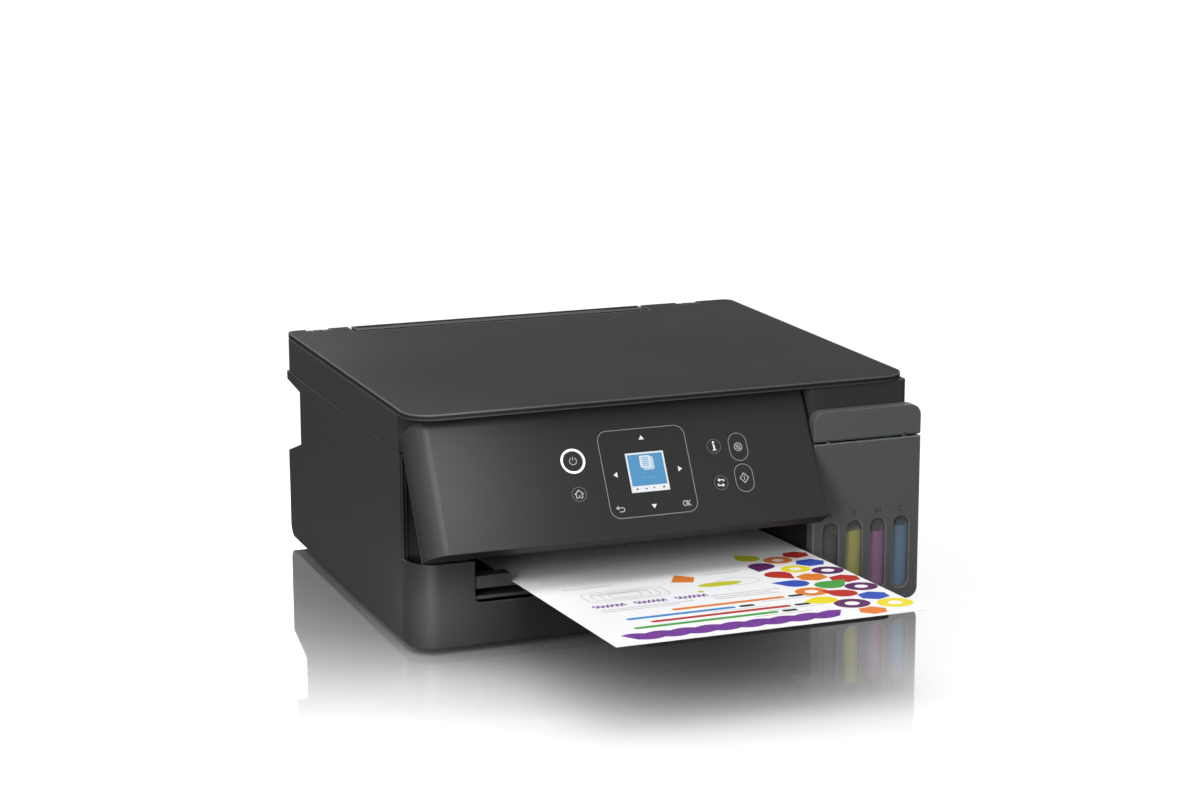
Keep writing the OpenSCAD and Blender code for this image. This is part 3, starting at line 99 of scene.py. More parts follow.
class Finish:
    """A material under way. node() adds any node and hands back one of its outlets."""

    def __init__(self, name):
        self.material = bpy.data.materials.new(name)
        self.material.use_nodes = True
        self.tree = self.material.node_tree
        self.tree.nodes.clear()

    def node(self, kind, settings=None, feeds=None, out=0):
        made = self.tree.nodes.new(kind)
        for key, value in (settings or {}).items():
            if key == "stops":
                stops = made.color_ramp.elements
                for k, (at, grey) in enumerate(value):
                    stop = stops[k] if k < 2 else stops.new(at)
                    stop.position = at
                    stop.color = (grey, grey, grey, 1)
            else:
                setattr(made, key, value)
        for key, value in (feeds or {}).items():
            if isinstance(value, Reading):
                self.tree.links.new(value.socket, made.inputs[key])
            else:
                made.inputs[key].default_value = value
        return Reading(self, made.outputs[out])

    def place(self):
        return self.node("ShaderNodeTexCoord", out="Object")

    def noise(self, where, scale, detail=2.0):
        feeds = {"Vector": where, "Scale": scale, "Detail": detail}
        return self.node("ShaderNodeTexNoise", {}, feeds)

    def blend(self, share, first, second):
        colours = {0: share, 6: first, 7: second}
        return self.node("ShaderNodeMix", {"data_type": "RGBA"}, colours, out=2)

    def relief(self, strength, depth, height, normal=None):
        feeds = {"Strength": strength, "Distance": depth, "Height": height}
        if normal:
            feeds["Normal"] = normal
        return self.node("ShaderNodeBump", {}, feeds)

    def done(self, shader):
        outlet = self.tree.nodes.new("ShaderNodeOutputMaterial")
        self.tree.links.new(shader.socket, outlet.inputs["Surface"])
        return self.material

    def skin(self, feeds):
        """Ends the material in one plain surface shader with these feeds."""
        return self.done(self.node("ShaderNodeBsdfPrincipled", {}, feeds))


def table_top():
    f = Finish("table_top")
    # Distances from the printer's middle, in metres: along the line of sight and across it
    sight_x, sight_y = 0.3614, 0.9324
    x = f.node("ShaderNodeSeparateXYZ", {}, {0: f.place()})
    y = Reading(f, x.socket.node.outputs[1])
    depth = abs(sight_x * x + sight_y * y)
    side = abs(sight_y * x - sight_x * y)
    # How strong the mirror is, from the middle to where it ends
    mirror_end = 0.45
    mirror = [
        (0.0, 0.87), (1.0, 0.0), (0.18, 0.84), (0.344, 0.745), (0.489, 0.58),
        (0.628, 0.345), (0.758, 0.12), (0.88, 0.03),
    ]
    near = f.node("ShaderNodeValToRGB", {"stops": mirror}, {0: depth * (1 / mirror_end)})
    full_side, last_side = 0.32, 0.60
    within = f.node(
        "ShaderNodeMapRange", {"interpolation_type": "SMOOTHSTEP"},
        {
            "Value": side, "From Min": full_side, "From Max": last_side,
            "To Min": 1.0, "To Max": 0.0,
        },
    )
    # The white is only for the eye, so that the table lights nothing itself
    seen = f.node("ShaderNodeLightPath", out="Is Camera Ray")
    shadow_reach = 0.15
    open_above = f.node(
        "ShaderNodeAmbientOcclusion", {"samples": 8}, {"Distance": shadow_reach}, out=1
    )
    whiteness = 0.9
    white = f.node(
        "ShaderNodeEmission", {},
        {"Color": (1, 1, 1, 1), "Strength": whiteness * (seen * open_above)},
    )
    matt = f.node("ShaderNodeBsdfDiffuse", {}, {"Color": 0.08 + 0.14 * seen})
    ground = f.node("ShaderNodeAddShader", {}, {0: white, 1: matt})
    polish = f.node(
        "ShaderNodeBsdfAnisotropic", {}, {"Color": 0.2 + 0.8 * seen, "Roughness": 0.04}
    )
    return f.done(f.node("ShaderNodeMixShader", {}, {0: near * within, 1: ground, 2: polish}))


def put_down(name, shape, finish):
    """Puts a finished mesh in the scene under its name, with its material."""
    data = bpy.data.meshes.new(name)
    shape.to_mesh(data)
    shape.free()
    piece = bpy.data.objects.new(name, data)
    piece.data.materials.append(finish)
    bpy.context.scene.collection.objects.link(piece)
    return piece


table_half = 6.0
table_drop = 0.0004
table_mesh = bmesh.new()
bmesh.ops.create_grid(table_mesh, x_segments=8, y_segments=8, size=table_half)
table = put_down("table", table_mesh, table_top())
table.location = (0, 0, -table_drop)


# ---- Studio light ----
# White surroundings with an even fill, a broad soft box overhead and a tall strip at the
# front left. Two small boxes stand close to that corner, and one behind the printer.
fill, backdrop = 0.40, 1.0
world = bpy.data.worlds.new("studio")
bpy.context.scene.world = world
world.use_nodes = True
sky = world.node_tree
sky.nodes.clear()
rays = sky.nodes.new("ShaderNodeLightPath")
shown_to = None
for ray in ("Is Camera Ray", "Is Glossy Ray", "Is Transmission Ray"):
    most = sky.nodes.new("ShaderNodeMath")
    most.operation = "MAXIMUM"
    sky.links.new(rays.outputs[ray], most.inputs[0])
    if shown_to:
        sky.links.new(shown_to.outputs[0], most.inputs[1])
    shown_to = most
either = sky.nodes.new("ShaderNodeMixShader")
sky.links.new(shown_to.outputs[0], either.inputs[0])
for inlet, strength in ((1, fill), (2, backdrop)):
    surround = sky.nodes.new("ShaderNodeBackground")
    surround.inputs["Color"].default_value = (1, 1, 1, 1)
    surround.inputs["Strength"].default_value = strength
    sky.links.new(surround.outputs[0], either.inputs[inlet])
sky_outlet = sky.nodes.new("ShaderNodeOutputWorld")
sky.links.new(either.outputs[0], sky_outlet.inputs["Surface"])


def soft_box(name, at, aim, width, height, watts, spread=180):
    data = bpy.data.lights.new(name, "AREA")
    data.shape = "RECTANGLE"
    data.size = width
    data.size_y = height
    data.energy = watts
    data.spread = math.radians(spread)
    lamp = bpy.data.objects.new(name, data)
    lamp.location = at
    lamp.rotation_euler = (Vector(aim) - Vector(at)).to_track_quat("-Z", "Y").to_euler()
    bpy.context.scene.collection.objects.link(lamp)


soft_box("overhead", (0.50, -0.25, 2.2), (0, 0, 0.1), 1.4, 1.4, 17.5)
soft_box("corner_strip", (-1.15, -1.30, 0.45), (-0.1, -0.1, 0.1), 0.35, 1.2, 16)
soft_box("near_left", (-0.16, -0.35, 0.29), (-0.175, -0.17, 0.115), 0.09, 0.14, 0.07, 42)
soft_box("low_left", (-0.26, -0.32, 0.05), (-0.176, -0.158, 0.03), 0.04, 0.04, 0.022, 30)
soft_box("back_left", (-0.20, 0.75, 0.36), (-0.10, 0, 0.17), 0.5, 0.5, 1.0)


# ---- Case ----
# Pan, side, back and front covers, injection-moulded in charcoal ABS with a fine
# spark-eroded grain. They clip together along the seams and stand on the pan.
def shade(tone, share=1.0, most=1.0):
    """A tone made darker or lighter, as a colour for a socket."""
    return tuple(min(most, c * share) for c in tone) + (1,)


def moulded(
    name, tone, rough=0.5, gloss=0.126, grain=0.12, rounding=0.0006, speck=1500.0,
    mottle=0.06, painted_edge_light=2.2,
):
    """Moulded plastic with a fine grain, faint clouds and rounded edges. The edges get a
    painted highlight, or painted shade where their share is below one.
    """
    f = Finish(name)
    where = f.place()
    fine = f.noise(where, speck, 3.0)
    cloud = f.noise(where, 7.0, 2.0)
    patchy = 0.5 * fine + 0.5 * cloud
    plain = f.blend(patchy, shade(tone, 1 - mottle), shade(tone, 1 + mottle))
    # An edge is where the rounded surface turns away from the flat one
    edge_gain = 9.0
    round_edge = f.node("ShaderNodeBevel", {"samples": 6}, {"Radius": rounding})
    facing = f.node("ShaderNodeNewGeometry", out="Normal")
    flat = f.node(
        "ShaderNodeVectorMath", {"operation": "DOT_PRODUCT"}, {0: round_edge, 1: facing},
        out="Value",
    )
    edge = (edge_gain * (1.0 - flat)).least(1.0)
    grain_depth = 0.0003
    return f.skin({
        # Along the edges the tone is scaled by the edge share: above one that is a painted
        # highlight, below one painted shade
        "Base Color": f.blend(edge, plain, shade(tone, painted_edge_light, most=0.9)),
        "Roughness": (rough - 0.05) + 0.1 * cloud - (0.4 * rough) * edge,
        "Specular IOR Level": gloss,
        "Normal": f.relief(grain, grain_depth, fine, round_edge),
    })


def dress(finish, *names):
    for name in names:
        slots = printer[name].data.materials
        slots.clear()
        slots.append(finish)


# Its edges are painted much darker: painted shade for the dark gaps along the seams between
# parts
charcoal = moulded(
    "charcoal_abs", (0.041, 0.041, 0.042), rough=0.55, gloss=0.084, rounding=0.0010,
    painted_edge_light=0.12,
)
dress(charcoal, "left_cover", "right_cover", "rear_cover", "base_pan")
# The front cover takes a darker copy of the charcoal: painted shade for the shadow under the
# panel, tray and sheet
charcoal_shaded_front = moulded(
    "charcoal_shaded_front", (0.024, 0.024, 0.025), rough=0.45, rounding=0.0012
)
dress(charcoal_shaded_front, "front_cover")


# ---- Feet and screws ----
# Five soft black rubber discs under the pan, one of them in its middle.
# Four zinc-plated screws hold the rear cover from behind.
def rubbery(name, tone):
    return moulded(
        name, tone, rough=0.8, gloss=0.084, grain=0.3, rounding=0.0004, speck=900.0,
        mottle=0.12,
    )


def plated(name, tone, rough=0.32, brush=(1.0, 1.0, 1.0)):
    """Bare or plated metal with fine brushed lines, drawn out along the brush."""
    f = Finish(name)
    where = f.place()
    along = f.node("ShaderNodeVectorMath", {"operation": "MULTIPLY"}, {0: where, 1: brush})
    hair = f.noise(along, 900.0, 4.0)
    cloud = f.noise(where, 25.0, 3.0)
    return f.skin({
        "Base Color": f.blend(cloud, shade(tone, 0.86), shade(tone)),
        "Metallic": 1.0,
        "Roughness": (rough - 0.08) + 0.16 * hair,
        "Normal": f.relief(0.15, 0.0001, hair),
    })


dress(rubbery("foot_rubber", (0.022, 0.022, 0.022)), "rubber_feet")
zinc = plated("zinc_plate", (0.62, 0.63, 0.64))
dress(zinc, "case_screws")


# ---- Top deck, bulkhead and output deck ----
# Matt black inner mouldings that close the base, carry the panel's arms and guide the
# sheet out of the slot.
inner = moulded(
    "inner_moulding", (0.016, 0.016, 0.017), rough=0.65, gloss=0.084, grain=0.2, mottle=0.1
)
dress(inner, "top_deck", "bulkhead")
deck_plastic = moulded("deck_moulding", (0.034, 0.034, 0.035), rough=0.6, gloss=0.084)
dress(deck_plastic, "output_deck")


# ---- Scanner unit ----
# A shallow charcoal tray on hinge pins, with the glass bed in a frame on top.
# The black scan bar runs below the glass on a ground steel rod.
def clear_glass(name, tint, alpha, rough=0.03):
    f = Finish(name)
    smear = f.noise(f.place(), 6.0, 4.0)
    return f.skin({
        "Base Color": f.blend(smear, shade(tint, 0.92), shade(tint)),
        "Roughness": rough + 0.05 * smear,
        "Alpha": alpha,
    })


dress(charcoal, "scanner_base", "scanner_frame", "lid_hinges")
dress(clear_glass("bed_glass", (0.55, 0.64, 0.62), 0.35), "scanner_glass")
dress(inner, "scan_bar")
ground_rod = plated("ground_rod", (0.75, 0.76, 0.77), rough=0.2, brush=(1.0, 12.0, 12.0))
dress(ground_rod, "scan_rod", "scanner_hinge_pins")


# ---- Document lid ----
# One flat satin moulding over the whole top, its rounded rim painted paler as a highlight.
# A white foam mat is glued underneath and presses the page on the glass.
lid_plastic = moulded(
    "lid_abs", (0.019, 0.019, 0.020), rough=0.5, gloss=0.021, rounding=0.0022, painted_edge_light=8.0
)
dress(lid_plastic, "document_lid")


def foam_sheet():
    f = Finish("mat_foam")
    where = f.place()
    cells = f.node("ShaderNodeTexVoronoi", {}, {"Vector": where, "Scale": 900.0})
    soil = f.noise(where, 5.0, 3.0)
    return f.skin({
        "Base Color": f.blend(soil, (0.74, 0.74, 0.72, 1), (0.82, 0.82, 0.81, 1)),
        "Roughness": 0.75 + 0.15 * soil,
        "Normal": f.relief(0.2, 0.0002, cells),
    })


dress(foam_sheet(), "lid_mat")


# ---- Control panel ----
# A satin dark grey shell that tilts on two arms, its face sloping back from upright.
# The keys, the touch window and the lit ring are set in it, and the signs are printed.
panel_grey = moulded(
    "panel_abs", (0.024, 0.024, 0.025), rough=0.42, gloss=0.147, grain=0.08,
    rounding=0.0008,
)
dress(panel_grey, "panel_shell")
dress(inner, "panel_back")
window_plastic = moulded(
    "touch_window", (0.023, 0.023, 0.024), rough=0.34, gloss=0.147, grain=0.02,
    rounding=0.0002, mottle=0.03,
)
dress(window_plastic, "panel_window")
key_plastic = moulded(
    "key_plastic", (0.024, 0.024, 0.025), rough=0.4, gloss=0.147, grain=0.06,
    rounding=0.0003,
)
dress(key_plastic, "power_key", "home_key", "info_key", "copy_key", "stop_key", "start_key")


def lit(name, tone, glow, strength, vary=0.05):
    """A diffuser or screen that glows softly, not quite evenly."""
    f = Finish(name)
    cloud = f.noise(f.place(), 60.0, 2.0)
    return f.skin({
        "Base Color": f.blend(cloud, shade(tone, 0.95), shade(tone)),
        "Roughness": 0.25 + 0.1 * cloud,
        "Emission Color": f.blend(cloud, shade(glow, 1 - vary), shade(glow, 1 + vary)),
        "Emission Strength": strength,
    })


dress(lit("ring_light", (0.8, 0.8, 0.8), (1.0, 1.0, 1.0), 0.7), "power_ring")

# From here on, places and sizes of what is drawn or poured are in millimetres.
mm = 0.001
panel_lean = math.radians(30)
panel_foot_y = -192.2
panel_foot_z = 78.9


def on_panel(x, s, n):
    """A place on the panel's face: x to the right, s up its slope and n out of it."""
    y = panel_foot_y + s * math.sin(panel_lean) - n * math.cos(panel_lean)
    z = panel_foot_z + s * math.cos(panel_lean) + n * math.sin(panel_lean)
    return Vector((x, y, z)) * mm


def arc(x, s, rx, rs=None, start=0.0, end=360.0, steps=40):
    """Points along an ellipse. A full turn doesn't repeat its first point."""
    rs = rx if rs is None else rs
    count = steps if end - start >= 360 else steps + 1
    turns = [math.radians(start + (end - start) * k / steps) for k in range(count)]
    return [(x + rx * math.cos(t), s + rs * math.sin(t)) for t in turns]


def rounded(x, s, w, h, r, steps=8):
    """The outline of an upright rectangle with rounded corners."""
    line = []
    for cx, cs, start in ((1, 1, 0), (-1, 1, 90), (-1, -1, 180), (1, -1, 270)):
        corner = (x + cx * (w / 2 - r), s + cs * (h / 2 - r))
        line += arc(*corner, r, start=start, end=start + 90, steps=steps)
    return line


def turned(shape, x, s, size, turn):
    """A small shape enlarged, turned by so many degrees and set down at x, s."""
    t = math.radians(turn)
    return [
        (
            x + size * (a * math.cos(t) - b * math.sin(t)),
            s + size * (a * math.sin(t) + b * math.cos(t)),
        )
        for a, b in shape
    ]


def band(line, width, closed=False):
    """Quads of a printed line of one width, mitred at its corners."""
    shortest_mitre = 0.35
    points = [Vector(p) for p in line]
    count = len(points)
    sides = []
    for k, p in enumerate(points):
        before = points[k - 1] if closed or k else p
        after = points[(k + 1) % count] if closed or k < count - 1 else p
        into = (p - before).normalized() if (p - before).length else (after - p).normalized()
        out_of = (after - p).normalized() if (after - p).length else into
        square = Vector((-(into + out_of).y, (into + out_of).x)).normalized()
        reach = width / 2 / max(shortest_mitre, square.dot(Vector((-into.y, into.x))))
        sides.append((tuple(p + square * reach), tuple(p - square * reach)))
    quads = []
    for k in range(count if closed else count - 1):
        (left, right), (next_left, next_right) = sides[k], sides[(k + 1) % count]
        quads.append([left, right, next_right, next_left])
    return quads


def printed(name, body, shapes, finish, surface, height, thick=0.05):
    """A thin printed layer: each shape is one outline in the surface's two directions."""
    ink = bmesh.new()
    for shape in shapes:
        ink.faces.new([ink.verts.new(surface(a, b, height)) for a, b in shape])
    bmesh.ops.remove_doubles(ink, verts=ink.verts, dist=1e-7)
    raised = bmesh.ops.extrude_face_region(ink, geom=ink.faces[:])
    top = [part for part in raised["geom"] if isinstance(part, bmesh.types.BMVert)]
    lift = surface(0, 0, thick) - surface(0, 0, 0)
    bmesh.ops.translate(ink, verts=top, vec=lift)
    bmesh.ops.recalc_face_normals(ink, faces=ink.faces)
    piece = put_down(name, ink, finish)
    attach(piece, body)


def marking(name, tone, vary=0.05, rough=0.5):
    """Printing ink or dye, a little uneven where it dried."""
    f = Finish(name)
    dots = f.noise(f.place(), 700.0, 2.0)
    return f.skin({
        "Base Color": f.blend(dots, shade(tone, 1 - vary), shade(tone, 1 + vary)),
        "Roughness": (rough - 0.05) + 0.1 * dots,
        "Specular IOR Level": 0.3,
    })


pale_line = marking("pale_line", (0.26, 0.26, 0.265))
bright_mark = marking("bright_mark", (0.78, 0.78, 0.78))
soft_mark = marking("soft_mark", (0.46, 0.46, 0.465))
dim_line = marking("dim_line", (0.125, 0.125, 0.128))
above_face = 0.02
window = (-23.5, 43.8)
window_size = (63.6, 61.8)
window_corner = 7.0
outline = 0.5
window_edge = band(rounded(*window, *window_size, window_corner), outline, True)
printed("window_outline", "panel", window_edge, pale_line, on_panel, above_face)
arrow_head = [(0.0, 1.0), (-1.15, -0.8), (1.15, -0.8)]
arrow_size = 1.7
touch_arrows = [(-23.5, 68.1, 0), (-47.0, 43.5, 90), (0.3, 43.7, 270), (-23.4, 19.3, 180)]
printed(
    "touch_arrows", "panel",
    [turned(arrow_head, x, s, arrow_size, turn) for x, s, turn in touch_arrows],
    bright_mark, on_panel, above_face,
)
back_hook = (
    [(-49.2, 20.3), (-46.6, 20.3)]
    + arc(-46.6, 18.9, 1.4, start=90, end=-90, steps=12)
    + [(-49.0, 17.5)]
)
printed(
    "touch_signs", "panel",
    band(arc(-0.9, 19.1, 1.3, 1.75, steps=24), 0.65, True)
    + band([(1.15, 17.1), (1.15, 21.1)], 0.65)
    + band([(3.2, 21.0), (1.3, 19.0), (3.3, 17.1)], 0.65)
    + band(back_hook, 0.6)
    + [[(-51.4, 20.3), (-49.0, 21.9), (-49.0, 18.7)]],
    soft_mark, on_panel, above_face,
)

# Each sign is printed on its own key, so that it goes down with it. It is drawn round
# the middle of its key.
key_middle = {
    "power": (-75.4, 56.0), "home": (-75.4, 32.6), "info": (28.3, 57.2),
    "copy": (28.3, 31.0), "stop": (46.1, 55.2), "start": (46.1, 32.8),
}


def key_print(key, sort, shapes, finish):
    x, s = key_middle[key]
    moved = [[(x + a, s + b) for a, b in shape] for shape in shapes]
    printed(key + "_" + sort, key + "_key", moved, finish, on_panel, above_face)


key_print(
    "power", "sign",
    band(arc(0, 0, 2.5, start=120, end=420, steps=30), 0.5) + band([(0, 0.4), (0, 3.1)], 0.5),
    soft_mark,
)
key_print(
    "home", "sign",
    band([(-3.1, -0.1), (0, 2.8), (3.1, -0.1)], 0.7)
    + band([(-2.1, 0.4), (-2.1, -2.6), (-0.7, -2.6)], 0.6)
    + band([(2.1, 0.4), (2.1, -2.6), (0.7, -2.6)], 0.6)
    + band([(0, -2.6), (0, -0.6)], 0.7),
    soft_mark,
)
key_print(
    "info", "sign",
    [arc(0, 2.75, 0.9, steps=16)]
    + band([(-0.95, 0.95), (0.55, 0.95)], 0.75)
    + band([(0.1, 0.6), (0.1, -2.4)], 1.25)
    + band([(-1.25, -2.75), (1.45, -2.75)], 0.75),
    bright_mark,
)
key_print(
    "copy", "sign",
    band([(-0.6, 1.9), (2.2, 1.9), (2.2, 0.5)], 0.8)
    + band([(0.6, -1.9), (-2.2, -1.9), (-2.2, -0.5)], 0.8)
    + [[(-2.5, 1.9), (-0.7, 3.3), (-0.7, 0.5)]]
    + [[(2.5, -1.9), (0.7, -3.3), (0.7, -0.5)]],
    bright_mark,
)
key_print(
    "stop", "sign",
    band(arc(0, 0, 2.8, steps=32), 0.55, True)
    + band(arc(0, 0, 1.35, steps=20), 0.45, True)
    + band([(-1.95, 1.95), (1.95, -1.95)], 0.5),
    soft_mark,
)
key_print(
    "start", "sign",
    band([(0, 3.5), (-3.2, 0), (0, -3.5), (3.2, 0)], 0.6, True)
    + band([(0, 1.5), (0, -1.5)], 0.6),
    soft_mark,
)
round_rim = band(arc(0, 0, 5.05, steps=48), outline, True)
for key in ("home", "info", "copy"):
    key_print(key, "rim", round_rim, dim_line)
long_rim = band(rounded(0, 0, 13.3, 19.9, 6.64, 12), outline, True)
for key in ("stop", "start"):
    key_print(key, "rim", long_rim, pale_line)


# ---- Display ----
# A small lit colour screen behind the window, its picture built up in thin layers:
# a white frame, a blue field with a page sign and three dots, and a strip of hints.
dress(lit("screen_glass", (0.35, 0.37, 0.39), (0.9, 0.93, 0.97), 0.48), "display")
screen_half = 27.9 / 2
frame_rim = 1.2
strip_top = 4.4
picture_back = -0.17
film = 0.03


def shown(name, layer, shapes, finish):
    """One layer of the picture, drawn round the middle of the screen."""
    x, s = window
    moved = [[(x + a, s + b) for a, b in shape] for shape in shapes]
    height = picture_back + layer * film
    printed(name, "panel", moved, finish, on_panel, height, film)


field_edge = screen_half - frame_rim
field_foot = strip_top - screen_half
shown(
    "screen_field", 0,
    [[
        (-field_edge, field_foot), (field_edge, field_foot),
        (field_edge, field_edge), (-field_edge, field_edge),
    ]],
    lit("screen_blue", (0.045, 0.12, 0.18), (0.05, 0.36, 0.77), 0.45, 0.08),
)
back_page = (1.6, 6.0)
front_page = (-0.3, 7.3)
shown(
    "screen_page", 1, [rounded(*back_page, 8.2, 9.4, 1.2, 4)],
    lit("page_shade", (0.2, 0.25, 0.3), (0.50, 0.66, 0.84), 0.55),
)
shown(
    "screen_page_front", 2, [rounded(*front_page, 8.0, 8.6, 1.2, 4)],
    lit("page_white", (0.3, 0.33, 0.36), (0.70, 0.84, 0.98), 0.5),
)
line_step = 1.35
line_heights = [front_page[1] + line_step * k for k in (-2, -1, 0, 1, 2)]
dot_step = 3.1
shown(
    "screen_page_lines", 3,
    [rounded(front_page[0], s, 5.0, 0.6, 0.25, 3) for s in line_heights]
    + [rounded(dot_step * k, -4.2, 2.0, 1.0, 0.45, 3) for k in (-1, 0, 1)],
    lit("page_lines", (0.08, 0.16, 0.24), (0.14, 0.40, 0.74), 0.45),
)
hint_height = 2.3 - screen_half
shown(
    "screen_hints", 0,
    [
        arc(-9.6, hint_height, 0.7, steps=14),
        turned(arrow_head, -3.0, hint_height, 0.75, 0),
        turned(arrow_head, 2.6, hint_height, 0.75, 180),
        rounded(9.8, hint_height, 1.6, 1.1, 0.3, 3),
    ],
    marking("hint_grey", (0.05, 0.05, 0.055)),
)


# ---- Ink tank unit ----
# A mid grey satin front with four windows, a hinged flap above it and a black housing.
# Behind the windows stands one smoky clear reservoir, moulded with a neck for each cap.
tank_satin = moulded(
    "tank_abs", (0.098, 0.099, 0.099), rough=0.42, gloss=0.168, grain=0.08,
    rounding=0.0020,
)
dress(tank_satin, "tank_front")
# Its edges are painted paler: a painted highlight along the flap's top edge
flap_satin = moulded(
    "flap_abs", (0.104, 0.105, 0.105), rough=0.42, gloss=0.168, grain=0.08,
    rounding=0.0007, painted_edge_light=1.8,
)
dress(flap_satin, "tank_flap")
dress(inner, "tank_housing")


def smoky_clear(name, tone, alpha):
    f = Finish(name)
    haze = f.noise(f.place(), 40.0, 3.0)
    return f.skin({
        "Base Color": f.blend(haze, shade(tone, 0.9), shade(tone)),
        "Roughness": 0.3 + 0.15 * haze,
        "Specular IOR Level": 0.4,
        "Alpha": alpha,
    })


dress(smoky_clear("smoky_tank", (0.28, 0.28, 0.283), 0.22), "ink_reservoir")
dress(smoky_clear("tube_plastic", (0.20, 0.20, 0.21), 0.8), "ink_tubes")
cap_tones = {
    "black": (0.02, 0.02, 0.02), "yellow": (0.70, 0.52, 0.03),
    "magenta": (0.50, 0.04, 0.20), "cyan": (0.02, 0.24, 0.50),
}
for colour, tone in cap_tones.items():
    cap_plastic = moulded("cap_" + colour, tone, gloss=0.168, grain=0.1, rounding=0.0004)
    dress(cap_plastic, "cap_" + colour)

# Each chamber, from left to right: its middle, the level of its ink and the ink's tone
chambers = {
    "black": (118.15, 52.7, (0.020, 0.020, 0.021)),
    "yellow": (136.65, 55.7, (0.70, 0.66, 0.095)),
    "magenta": (155.15, 53.5, (0.46, 0.13, 0.42)),
    "cyan": (173.65, 56.2, (0.13, 0.32, 0.54)),
}
chamber_half = 8.15
chamber_front = -160.6
chamber_back = -50.1
chamber_floor = 11.2
wall_gap = 0.1
# The ink's surface close to a wall: the distance from it and the rise above the level
meniscus = [(wall_gap, 0.7), (1.0, 0.15), (2.6, 0.0)]


def ink_fill(colour, x, level, tone):
    """The ink in one chamber, its top drawn up a little at the walls."""
    body = bmesh.new()
    rings = [(wall_gap, chamber_floor)] + [(inset, level + rise) for inset, rise in meniscus]
    rows = []
    for inset, z in rings:
        left, right = x - chamber_half + inset, x + chamber_half - inset
        front, back = chamber_front + inset, chamber_back - inset
        corners = [(left, front), (right, front), (right, back), (left, back)]
        rows.append([body.verts.new((cx * mm, cy * mm, z * mm)) for cx, cy in corners])
    for low, high in zip(rows, rows[1:]):
        for k in range(4):
            body.faces.new((low[k], low[(k + 1) % 4], high[(k + 1) % 4], high[k]))
    body.faces.new(rows[0][::-1])
    body.faces.new(rows[-1])
    bmesh.ops.recalc_face_normals(body, faces=body.faces)
    dye = marking("ink_" + colour + "_dye", tone, 0.1, 0.25)
    piece = put_down("ink_" + colour, body, dye)
    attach(piece, "base")
    "cap_" + colour


for colour, (x, level, tone) in chambers.items():
    ink_fill(colour, x, level, tone)

# Letters over the windows say which ink is which. They are moulded in, a shade darker.
tank_face = -164.5
letter_middle = 70.6
letter_line = 0.6


def on_tank(x, z, out):
    return Vector((x, tank_face - out, z)) * mm


letters = {
    "black": [[(-1.6, 2.1), (-1.6, -2.1)], [(1.5, 2.1), (-1.3, 0.1), (1.6, -2.1)]],
    "yellow": [[(-1.7, 2.1), (0.0, 0.1), (1.7, 2.1)], [(0.0, 0.1), (0.0, -2.1)]],
    "magenta": [[(-1.9, -2.1), (-1.7, 2.0), (0.0, -0.9), (1.7, 2.0), (1.9, -2.1)]],
    "cyan": [arc(0.0, 0.0, 1.9, 2.1, start=48, end=312, steps=18)],
}
strokes = []
for colour, lines in letters.items():
    middle = chambers[colour][0]
    for line in lines:
        strokes += band([(middle + a, letter_middle + b) for a, b in line], letter_line)
letter_grey = marking("letter_grey", (0.036, 0.036, 0.037))
printed("ink_letters", "base", strokes, letter_grey, on_tank, 0.01, 0.04)


# ---- Output tray and printed sheet ----
# Two satin grey plates that slide out under the slot. One letter sheet of plain paper
# lies on the sloping deck, printed on its upper side.
tray_plastic = moulded("tray_abs", (0.040, 0.040, 0.041))
dress(tray_plastic, "output_tray", "tray_extension")


def paper_stock():
    f = Finish("office_paper")
    fibre = f.noise(f.place(), 500.0, 6.0)
    return f.skin({
        "Base Color": f.blend(fibre, (0.86, 0.86, 0.87, 1), (0.93, 0.93, 0.94, 1)),
        "Roughness": 0.7 + 0.15 * fibre,
        "Specular IOR Level": 0.3,
        "Normal": f.relief(0.1, 0.0001, fibre),
    })


dress(paper_stock(), "printed_sheet")
sheet_slope = math.radians(3)
sheet_near_edge = -188.5
deck_y = -160
deck_z = 45.8


def on_sheet(u, v, up):
    """A place on the sheet: u across it, v from its near edge and up from the paper."""
    run = sheet_near_edge + v
    return Vector((
        u,
        deck_y + run * math.cos(sheet_slope) + up * math.sin(sheet_slope),
        deck_z - run * math.sin(sheet_slope) + up * math.cos(sheet_slope),
    )) * mm


# The print is a plain made-up pattern: a wave, round-ended bars, hexagons, drops and rings.
sheet_ink = {
    "violet": (0.17, 0.035, 0.30), "plum": (0.115, 0.02, 0.115), "yellow": (0.86, 0.72, 0.02),
    "orange": (0.78, 0.22, 0.03), "red": (0.50, 0.03, 0.02), "green": (0.07, 0.36, 0.06),
    "blue": (0.035, 0.09, 0.48), "sky": (0.06, 0.28, 0.62), "grey": (0.42, 0.42, 0.43),
    "black": (0.02, 0.02, 0.02), "lime": (0.58, 0.60, 0.02),
}
prints = {tone: [] for tone in sheet_ink}
wave = [(-101 + 1.5 * k, 17.0 + 1.6 * math.sin(k * 0.55)) for k in range(98)]
prints["violet"] += band(wave, 15.0)
for tone, left, right, v in (
    ("green", -90, 10, 37), ("red", -74, 24, 48), ("sky", -86, -10, 60), ("orange", -50, 30, 71)
):
    prints[tone].append(rounded((left + right) / 2, v, right - left, 5.0, 2.49, 6))
    prints["black"].append(rounded(right + 8, v, 11, 4.6, 2.29, 6))
    prints["grey"].append(rounded(right + 1, v - 6, 40, 0.8, 0.39, 3))

